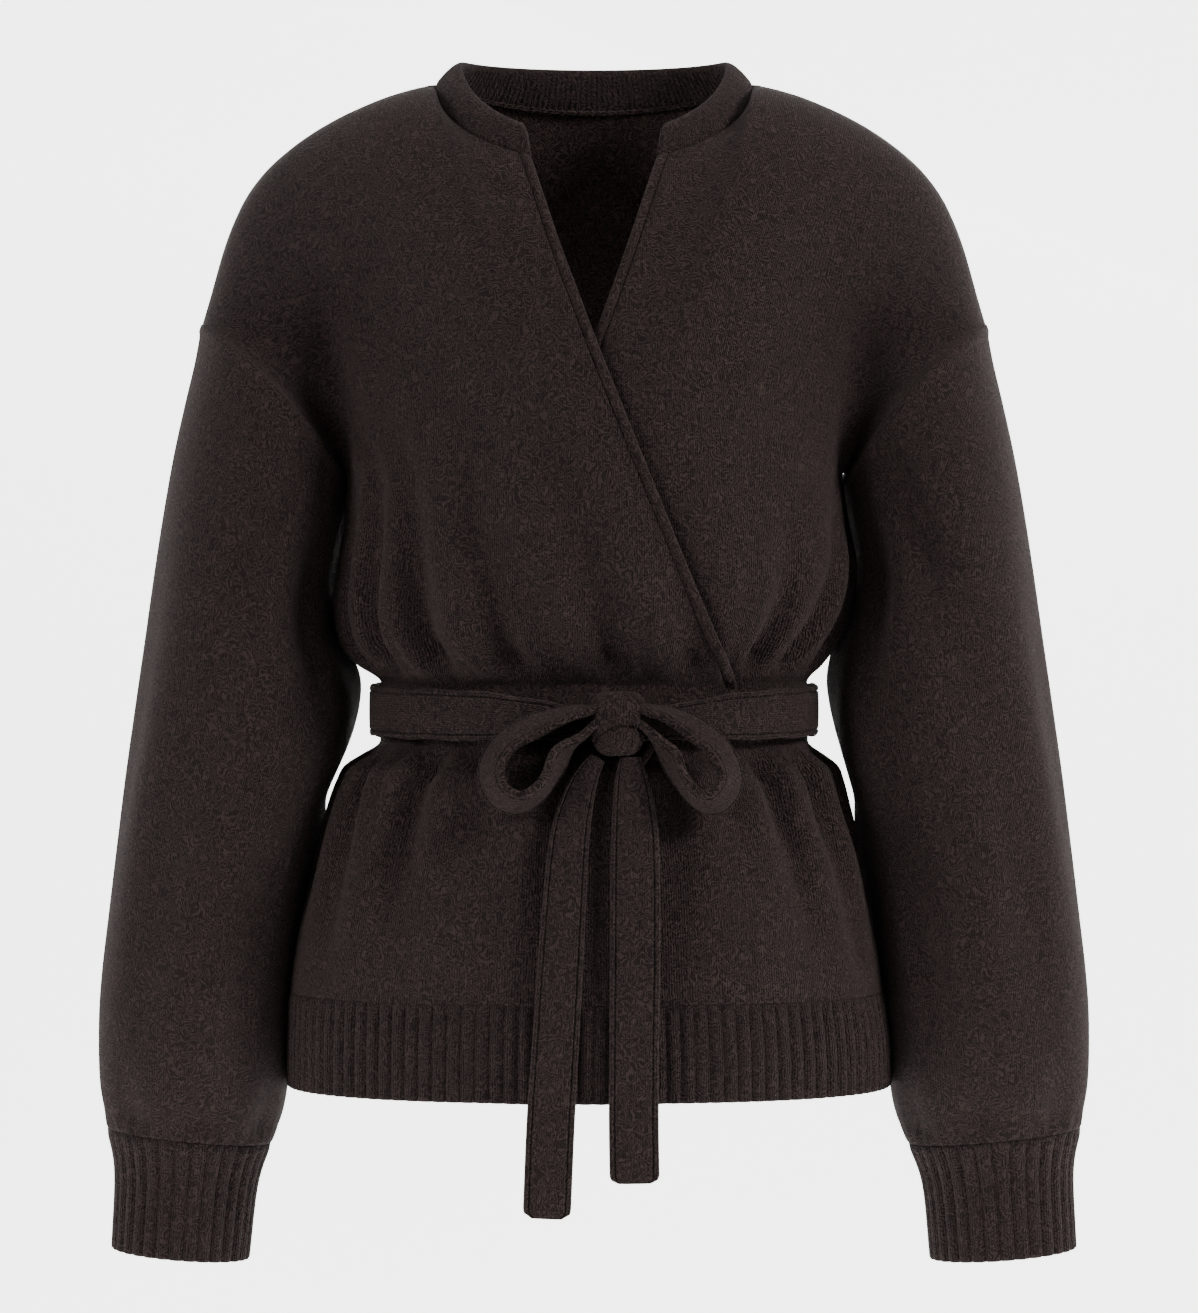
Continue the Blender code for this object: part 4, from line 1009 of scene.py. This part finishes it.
# %% Cuffs
CUFF_ROWS = 26
count = CUFF_RIBS * POINTS_PER_RIB + 1
turns = np.linspace(0, 2 * math.pi, count)
for side, word in ((-1, "right"), (1, "left")):
    at = 2 * np.linspace(0, 1, CUFF_ROWS) ** 0.8
    points = through(arm_rings(CUFF, side, turns), at)
    points = np.concatenate([points[:-1], through(arm_rings(CUFF, side, turns),
                                                  [1.965, 1.98, 1.99, 2.0])])
    run = run_lengths(points, 0)
    way = -side * outward(points[:, :-1], closed=True)
    way = np.concatenate([way, way[:, :1]], axis=1)
    relief = rib_relief(CUFF_RIBS, count, run, run[-1:] - run)
    points = (points + way * relief[..., None])[:, :-1]
    cuffs[word] = mesh_piece("ribbed_cuff_" + word, points,
                             rib_uv(CUFF_RIBS, count, -run), -side, closed_across=True)
    give_wall(cuffs[word], rib_knit, rib_knit, 2.2)
    settle(cuffs[word], "rib_knit", "cuff_" + word)

# %% [markdown]
# The collar is a narrow stand of doubled knit. Outside it is plain; inside, the yarn runs
# in fine upright ribs, and below them the thick seam that joins it to the back shows as a
# lumpy cord of yarn.

# %% Collar
COLLAR_TOP_HALF, COLLAR_TOP_FRONT, COLLAR_TOP_BACK, COLLAR_TOP = 80.5, 67.0, 54.5, 22.0
COLLAR_BEND = 5.0
COLLAR_SECTION = table("rise out", [
    (0.02, -0.2), (0.15, 0.7), (0.45, 1.2), (0.72, 0.9), (0.90, -0.3), (0.98, -2.2),
    (0.92, -4.2), (0.75, -5.2), (0.45, -5.3), (0.15, -4.7), (0.02, -4.2), (0.0, -2.2),
])


def collar_line(side, share, front, top):
    """Point of the collar's seam or upper edge, share 0 at the centre or front end."""
    if not top:
        start = math.asin(NECK_END / NECK_HALF) if front else 0.0
        return neck_seam(side, mix(start, math.pi / 2, share), front)
    start = math.asin((NECK_END + 3.5) / COLLAR_TOP_HALF) if front else 0.0
    angle = mix(start, math.pi / 2, share)
    x = side * COLLAR_TOP_HALF * np.sin(angle)
    y = np.cos(angle) * (-COLLAR_TOP_FRONT if front else COLLAR_TOP_BACK)
    z = COLLAR_TOP + 1.0 - 0.8 * COLLAR_BEND * np.log1p(np.exp(-y / COLLAR_BEND))
    return np.stack([x, y, z], axis=-1)


front_shares = np.concatenate([np.linspace(0, 0.14, 15), np.linspace(0.16, 1, 40)])
back_shares = np.linspace(1, 0, 46)[1:]
stretches = [(-1, front_shares, True), (-1, back_shares, False),
             (1, back_shares[:-1][::-1], False), (1, front_shares[::-1], True)]
seam = np.concatenate([collar_line(*row, False) for row in stretches])
edge = np.concatenate([collar_line(*row, True) for row in stretches])
along = edge - seam
out = np.cross(along, np.gradient(seam, axis=0))
out /= np.linalg.norm(out, axis=-1, keepdims=True)
run = run_lengths(seam, 0)
from_end = np.minimum(run, run[-1] - run)
ROUND = 4.5
corner = 1 - np.clip(1 - from_end / ROUND, 0, 1) ** 2
height = 1 - (1 - np.sqrt(corner)) * ROUND / np.linalg.norm(along, axis=-1)
closed = np.stack([COLLAR_SECTION["rise"], COLLAR_SECTION["out"]], axis=-1)
wrapped = np.concatenate([closed[-2:], closed, closed[:3]])
section = through(wrapped, np.linspace(2, len(closed) + 2, 49))[:-1]
thin = smoothstep((from_end + 1.0) / 3.0)
rise = section[None, :, 0] * height[:, None]
depth = (section[None, :, 1] + 2.0) * mix(0.55, 1.0, thin)[:, None] - 2.0
points = seam[:, None] + along[:, None] * rise[..., None] + out[:, None] * depth[..., None]
print("the collar is", round(run[-1]), "mm long")


# %% Turning a tube's faces out
def face_out(piece):
    """Makes all the faces of a closed tube look outwards."""
    bpy.ops.object.select_all(action="DESELECT")
    piece.select_set(True)
    bpy.context.view_layer.objects.active = piece
    bpy.ops.object.mode_set(mode="EDIT")
    bpy.ops.mesh.select_all(action="SELECT")
    bpy.ops.mesh.normals_make_consistent(inside=False)
    bpy.ops.object.mode_set(mode="OBJECT")
    return piece


around = run_lengths(np.concatenate([points, points[:, :1]], axis=1), 1)
uv = np.stack([run[:, None] + 0 * around, around], axis=-1)
collar_knit = knit_material("felted_wool_collar_stand", "stocking", tone=0.95)
collar_rib = knit_material("felted_wool_fine_rib_lining", "rib", wale=3.6 * MM, tone=0.72,
                           relief=0.0016)
collar = mesh_piece("stand_collar", points, uv, -1, closed_across=True, ends=True)
collar.data.materials.append(collar_knit)
collar.data.materials.append(collar_rib)
INSIDE_FROM, INSIDE_TO = 26, 46
for face in collar.data.polygons:
    place = face.index % len(section)
    face.material_index = 1 if INSIDE_FROM <= place <= INSIDE_TO else 0
face_out(collar)
settle(collar, "rib_knit", "collar")

# %% The seam inside the neck
ridge_shares = np.concatenate([np.linspace(0.25, 1, 60), np.linspace(1, 0, 140)[1:]])
half_ridge = np.concatenate([collar_line(-1, ridge_shares[:60], True, False),
                             collar_line(-1, ridge_shares[60:], False, False)])
mirror = half_ridge[:-1][::-1] * np.array([-1.0, 1.0, 1.0])
path = np.concatenate([half_ridge, mirror])
run = run_lengths(path, 0)
inward = -path * np.array([1.0, 1.0, 0.0])
inward /= np.linalg.norm(inward, axis=-1, keepdims=True)
path = path + inward * 5.2 + np.array([0.0, 0.0, -1.2])
lumps = 1.6 + 0.4 * np.sin(run * 1.55) + 0.25 * np.sin(run * 0.93 + 1.0)
turn = np.linspace(0, 2 * math.pi, 11)[:-1]
points = (path[:, None] + inward[:, None] * (np.cos(turn)[None] * lumps[:, None])[..., None]
          + np.array([0.0, 0.0, 1.0]) * (np.sin(turn)[None] * lumps[:, None])[..., None])
uv = np.stack([np.linspace(0, 8, 11)[None] + 0 * run[:, None],
               run[:, None] + np.zeros((1, 11))], axis=-1)
ridge = mesh_piece("linked_neck_seam", points, uv, 1, closed_across=True, ends=True)
ridge.data.materials.append(collar_knit)
face_out(ridge)
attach(ridge, "root")
print("the neck seam shows", round(run[-1]), "mm")

# %% [markdown]
# The belt is a flat tube of the same knit, 3 cm wide, stitched along both edges. It goes
# once round the waist and is tied in front. The bow's loops stand nearly on edge, so that
# their rims show, and its two ends hang down flat. The same strap section serves them all.

# %% Strap section
STRAP_SECTION = table("across thick", [
    (-1.0, 0.0), (-0.985, 0.55), (-0.93, 0.88), (-0.86, 0.97), (-0.81, 0.94),
    (-0.765, 0.48), (-0.72, 0.94), (-0.66, 1.0), (-0.35, 1.06), (0.0, 1.08),
    (0.35, 1.06), (0.66, 1.0), (0.72, 0.94), (0.765, 0.48), (0.81, 0.94), (0.86, 0.97),
    (0.93, 0.88), (0.985, 0.55),
])
across_half = STRAP_SECTION["across"]
thick_half = STRAP_SECTION["thick"]
SECTION_ACROSS = np.concatenate([across_half, [1.0], across_half[:0:-1]])
SECTION_THICK = np.concatenate([thick_half, [0.0], -thick_half[:0:-1]])
BELT_THICK = 5.0
STRAP_HALF = 14.5
print("the strap's section has", len(SECTION_ACROSS), "points")


# %% Strap material
def strap_knit(name, stitch_at, tone=1.0):
    """The panel's knit with a row of small stitches sunk in along both edges, with painted shade in their holes.
    """
    material = knit_material(name, "stocking", tone=tone)
    tree = material.node_tree
    add(tree, "edge_side", "ShaderNodeMath", {0: ("split", 0)}, operation="ABSOLUTE")
    add(tree, "edge_off", "ShaderNodeMath", {0: "edge_side", 1: stitch_at * MM},
        operation="SUBTRACT")
    add(tree, "edge_far", "ShaderNodeMath", {0: "edge_off"}, operation="ABSOLUTE")
    add(tree, "edge_near", "ShaderNodeMapRange", {0: "edge_far", 1: 0.0, 2: 0.0009,
                                                  3: 1.0, 4: 0.0})
    add(tree, "hole_turn", "ShaderNodeMath", {0: ("split", 1), 1: 2 * math.pi / 0.0027},
        operation="MULTIPLY")
    add(tree, "hole_wave", "ShaderNodeMath", {0: "hole_turn"}, operation="SINE")
    add(tree, "hole", "ShaderNodeMapRange", {0: "hole_wave", 1: -0.6, 2: 0.6, 3: 0.35,
                                             4: 1.0})
    add(tree, "hole_here", "ShaderNodeMath", {0: "edge_near", 1: "hole"},
        operation="MULTIPLY")
    add(tree, "sunk", "ShaderNodeMath", {0: "surface", 1: "hole_here"},
        operation="SUBTRACT")
    tree.links.new(tree.nodes["sunk"].outputs[0], tree.nodes["bump"].inputs["Height"])
    # The holes' depth also drives the colour, which paints shade into them.
    tree.links.new(tree.nodes["sunk"].outputs[0], tree.nodes["yarn"].inputs[0])
    return material


STITCH_SHARE = 0.77
belt_knit = strap_knit("felted_wool_tie_strap", STITCH_SHARE * STRAP_HALF, 1.02)
print("the stitch rows lie", round(STRAP_HALF * (1 - STITCH_SHARE), 1), "mm from the edges")

# %% Belt
BELT_RING = table("height right left front back", [
    (-400, 128.5, 128.5, 100.3, 85.0), (-340, 128.5, 128.5, 100.3, 85.0),
])
BELT_HALF, BELT_LEVEL, BELT_TILT, BELT_CLEAR = 15.0, -368.5, 0.025, 0.8
KNOT_CENTRE, KNOT_HALF = (14.0, -115.8, -375.5), (15.5, 9.5, 18.5)
angles = np.linspace(-math.pi, math.pi, 361)
x, y = ring(BELT_RING, angles, np.full_like(angles, BELT_LEVEL), BELT_POWER)
path = np.stack([x, y, BELT_LEVEL + BELT_TILT * y], axis=-1)
belt_run = run_lengths(path, 0)
path = path[:-1]
run = np.roll(path, -1, axis=0) - np.roll(path, 1, axis=0)
out = np.stack([run[:, 1], -run[:, 0], np.zeros(len(run))], axis=-1)
out /= np.linalg.norm(out, axis=-1, keepdims=True)
off_knot = (path[:, 0] - KNOT_CENTRE[0])
before = path[:, 1] < 0
pinch = np.exp(-(off_knot / 52.0) ** 2) * before
half = BELT_HALF * (1 - 0.45 * pinch)
middle = BELT_LEVEL + BELT_TILT * path[:, 1] - 6.0 * pinch
thickness = BELT_THICK / 2 * SECTION_THICK[None]
crease = 1.6 * (pinch * (1 - pinch) * 4)[:, None] * (
    np.exp(-((SECTION_ACROSS[None] - 0.25) / 0.2) ** 2) * (SECTION_THICK[None] > 0))
rise = SECTION_ACROSS[None] * half[:, None]
ripple = 0.45 * np.sin(angles[:-1] * 23.0)[:, None] * np.abs(SECTION_ACROSS[None]) ** 3
reach = BELT_CLEAR + BELT_THICK / 2 + 0.15 + thickness - crease + 0 * rise
points = np.repeat(path[:, None], len(SECTION_ACROSS), axis=1) + out[:, None] * reach[..., None]
points[..., 2] = middle[:, None] + rise + ripple
u = np.append(SECTION_ACROSS, SECTION_ACROSS[0]) * STRAP_HALF
uv = np.stack([u[None] + 0 * belt_run[:, None], belt_run[:, None] + 0 * u[None]], axis=-1)
belt = mesh_piece("tie_belt", points, uv, 1, closed_across=True, closed_along=True)
belt.data.materials.append(belt_knit)
face_out(belt)
settle(belt, "tie_knit", "belt")

# %% Bow
BOW_LEFT_SIDE = table("side back height width", [
    (26.5, -116.6, -365.9, 14), (30.8, -117.0, -366.6, 16), (43, -117.4, -369.0, 21),
    (60, -119.5, -377.0, 26), (75, -124.0, -391.0, 28), (80.5, -127.0, -408.0, 28), (74, -129.5, -420.5, 28),
    (63.5, -129.5, -422.5, 28), (53, -127.5, -414.0, 28), (43, -122.5, -398.5, 26),
    (36, -118.5, -387.0, 20), (31.8, -116.9, -380.5, 16),
    (26.0, -115.8, -374.5, 13),
])
BOW_RIGHT_SIDE = table("side back height width", [
    (1.5, -116.6, -365.9, 14), (-3.0, -117.0, -366.6, 16), (-16, -117.4, -368.6, 21),
    (-36, -119.0, -375.0, 26), (-54, -123.0, -386.5, 28), (-61.5, -126.5, -403.0, 28), (-56, -129.0, -418.0, 28),
    (-43, -129.5, -423.0, 28), (-30, -128.5, -415.5, 28), (-20, -124.3, -400.0, 26),
    (-12, -119.5, -388.0, 20), (-3.6, -116.9, -380.5, 16),
    (2.0, -115.8, -374.5, 13),
])
END_RIGHT_SIDE = table("side back height width", [
    (2.5, -116.0, -395.0, 9), (-3.8, -116.8, -405, 14), (-10.0, -119.5, -422, 19.5),
    (-14.5, -124.0, -448, 23.5), (-18.5, -130.0, -505, 26), (-22, -132.4, -562, 27),
    (-24.5, -133.6, -602, 27.5), (-26.8, -134.0, -657, 27.5),
])
END_LEFT_SIDE = table("side back height width", [
    (21.0, -116.5, -394.8, 12), (21.5, -117.8, -405, 18), (22.8, -120.5, -422, 24),
    (23.6, -124.0, -448, 28), (23.6, -130.0, -505, 29), (23.0, -132.4, -562, 28.5),
    (22.8, -133.6, -602, 28.5), (23.3, -134.0, -637, 28.5),
])
END_ROUND = 5.0


def strap(name, rows, steps, width_way, flare=0.0, free_end=False):
    """A strap along a table's middle line. A flare turns a loop into a shallow cone
    with its small rim in front; a free end gets rounded corners."""
    at = np.linspace(0, len(rows["side"]) - 1, steps)
    path = np.stack([through(rows[key], at) for key in ("side", "back", "height")], axis=-1)
    run = run_lengths(path, 0)
    half = through(rows["width"], at) / 2
    if free_end:
        past = np.clip(1 - (run[-1] - run) / END_ROUND, 0, 1)
        half = half - END_ROUND * (1 - np.sqrt(1 - past ** 2))
    along = np.gradient(path, axis=0)
    off = (path - path.mean(axis=0)) * np.array([1.0, 0.0, 1.0])
    off /= np.linalg.norm(off, axis=-1, keepdims=True)
    share = np.sin(np.pi * np.linspace(0, 1, steps))[:, None] ** 0.7
    path = path - off * flare * 5.0 * share
    thick_way = np.cross(along, np.array(width_way) + flare * share * off)
    thick_way /= np.linalg.norm(thick_way, axis=-1, keepdims=True)
    across = np.cross(thick_way, along)
    across /= np.linalg.norm(across, axis=-1, keepdims=True)
    points = (path[:, None] + across[:, None] * (half[:, None] * SECTION_ACROSS)[..., None]
              + thick_way[:, None] * (BELT_THICK / 2 * SECTION_THICK)[None, :, None])
    u = np.append(SECTION_ACROSS, SECTION_ACROSS[0]) * STRAP_HALF
    uv = np.stack([u[None] + 0 * run[:, None], run[:, None] + 0 * u[None]], axis=-1)
    piece = mesh_piece(name, points, uv, 1, closed_across=True, ends=True)
    piece.data.materials.append(belt_knit)
    return face_out(piece), run[-1]


ON_EDGE, FLAT = (0.0, 1.0, 0.05), (1.0, 0.0, 0.0)
bow = {}
for name, node, rows, way, flare in (
        ("bow_loop_left_side", "bow_loop_left", BOW_LEFT_SIDE, ON_EDGE, 0.6),
        ("bow_loop_right_side", "bow_loop_right", BOW_RIGHT_SIDE, ON_EDGE, 0.6),
        ("hanging_end_right_side", "belt_end_right", END_RIGHT_SIDE, FLAT, 0.0),
        ("hanging_end_left_side", "belt_end_left", END_LEFT_SIDE, FLAT, 0.0)):
    bow[name] = strap(name, rows, 131, way, flare, free_end=way == FLAT)
    settle(bow[name][0], "tie_knit", node)

# %% [markdown]
# The knot is the strap wound once over itself. In front it shows as a band that runs down
# over the crossing, wide at the top, with a fold across its lower half and a rolled edge
# on each side.

# %% Knot
KNOT_PROFILE = table("rise size", [
    (-1.0, 0.45), (-0.95, 0.62), (-0.8, 0.82), (-0.5, 0.97), (-0.2, 0.97), (0.1, 1.0),
    (0.5, 1.03), (0.72, 1.0), (0.88, 0.86), (0.96, 0.68), (1.0, 0.45),
])
rises = np.concatenate([np.linspace(-1, -0.85, 8), np.linspace(-0.82, 0.82, 44),
                        np.linspace(0.85, 1, 8)])
size = np.interp(rises, KNOT_PROFILE["rise"], KNOT_PROFILE["size"])
angles = np.linspace(0, 2 * math.pi, 97)
side_way, front_way = np.cos(angles[:-1]), np.sin(angles[:-1])
reach = (np.abs(side_way) ** 2.1 + np.abs(front_way) ** 2.1) ** (-1 / 2.1)
share = (reach * side_way)[None]
level = rises[:, None]
facing = smoothstep(-front_way[None] * 2.0)
fold = np.exp(-((level + 0.12 + 0.3 * share ** 2 - 0.18 * share) / 0.08) ** 2)
rolls = np.exp(-((share - 0.70 - 0.1 * level) / 0.10) ** 2) - 0.8 * np.exp(
    -((share - 0.5 - 0.15 * level) / 0.07) ** 2) + 0.5 * np.exp(
    -((share + 0.75 - 0.12 * level) / 0.12) ** 2)
dents = np.exp(-((level - 0.55 - 0.5 * share) / 0.10) ** 2) * smoothstep(share * 2)
push = facing * (-2.6 * fold + 1.0 * rolls - 1.6 * dents)
x = KNOT_CENTRE[0] + size[:, None] * KNOT_HALF[0] * share
y = KNOT_CENTRE[1] + size[:, None] * KNOT_HALF[1] * (reach * front_way)[None] - push
z = KNOT_CENTRE[2] + KNOT_HALF[2] * level + 0 * share
points = np.stack([x, y, z], axis=-1)
around = np.linspace(0, 80.0, 97)
uv = np.stack([around[None] + 0 * level, z[:, :1] + 0 * around[None]], axis=-1)
knot_knit = knit_material("felted_wool_knot", "stocking", tone=1.02)
knot = mesh_piece("bow_knot_wrap", points, uv, 1, closed_across=True, ends=True)
knot.data.materials.append(knot_knit)
face_out(knot)
settle(knot, "tie_knit", "bow_knot")

# %% [markdown]
# Last, each cloth piece states the size that it was cut to. The sizes are those of what is built here: the width
# is taken at the widest place, and the area leaves out what neck, armhole and slant cut away.


# %% What each piece was cut to
def cut_of(piece):
    """Width and length of a piece on its UV map, which is its flat cut."""
    layer = piece.data.uv_layers["knit"]
    spots = np.zeros(len(layer.data) * 2)
    layer.data.foreach_get("uv", spots)
    spots = spots.reshape(-1, 2)
    return float(np.ptp(spots[:, 0])), float(np.ptp(spots[:, 1]))


def cloth_area(piece):
    """Half the surface of a walled piece, which is one face of its cloth."""
    return sum(face.area for face in piece.data.polygons) / 2


def declare(piece, width, length, held="hung", with_pieces=()):
    area = cloth_area(piece)
    area = min(area, width * length)
    print(piece.name, "cut", round(width, 3), "by", round(length, 3), "m, area",
          round(area, 3))


declare(back, *cut_of(back), "gathered", [hems["back"]])
declare(fronts["right"], *cut_of(fronts["right"]), "gathered", [hems["right"], bands["right"]])
declare(fronts["left"], *cut_of(fronts["left"]), "gathered", [hems["left"], bands["left"]])
for word in ("right", "left"):
    declare(sleeves[word], *cut_of(sleeves[word]), "gathered", [cuffs[word]])
declare(collar, run_lengths(seam, 0)[-1] * MM, 0.045, "hung", [ridge])
declare(belt, belt_run[-1] * MM, 2 * BELT_HALF * MM, "gathered",
        [knot, bow["bow_loop_left_side"][0], bow["bow_loop_right_side"][0],
         bow["hanging_end_right_side"][0], bow["hanging_end_left_side"][0]])
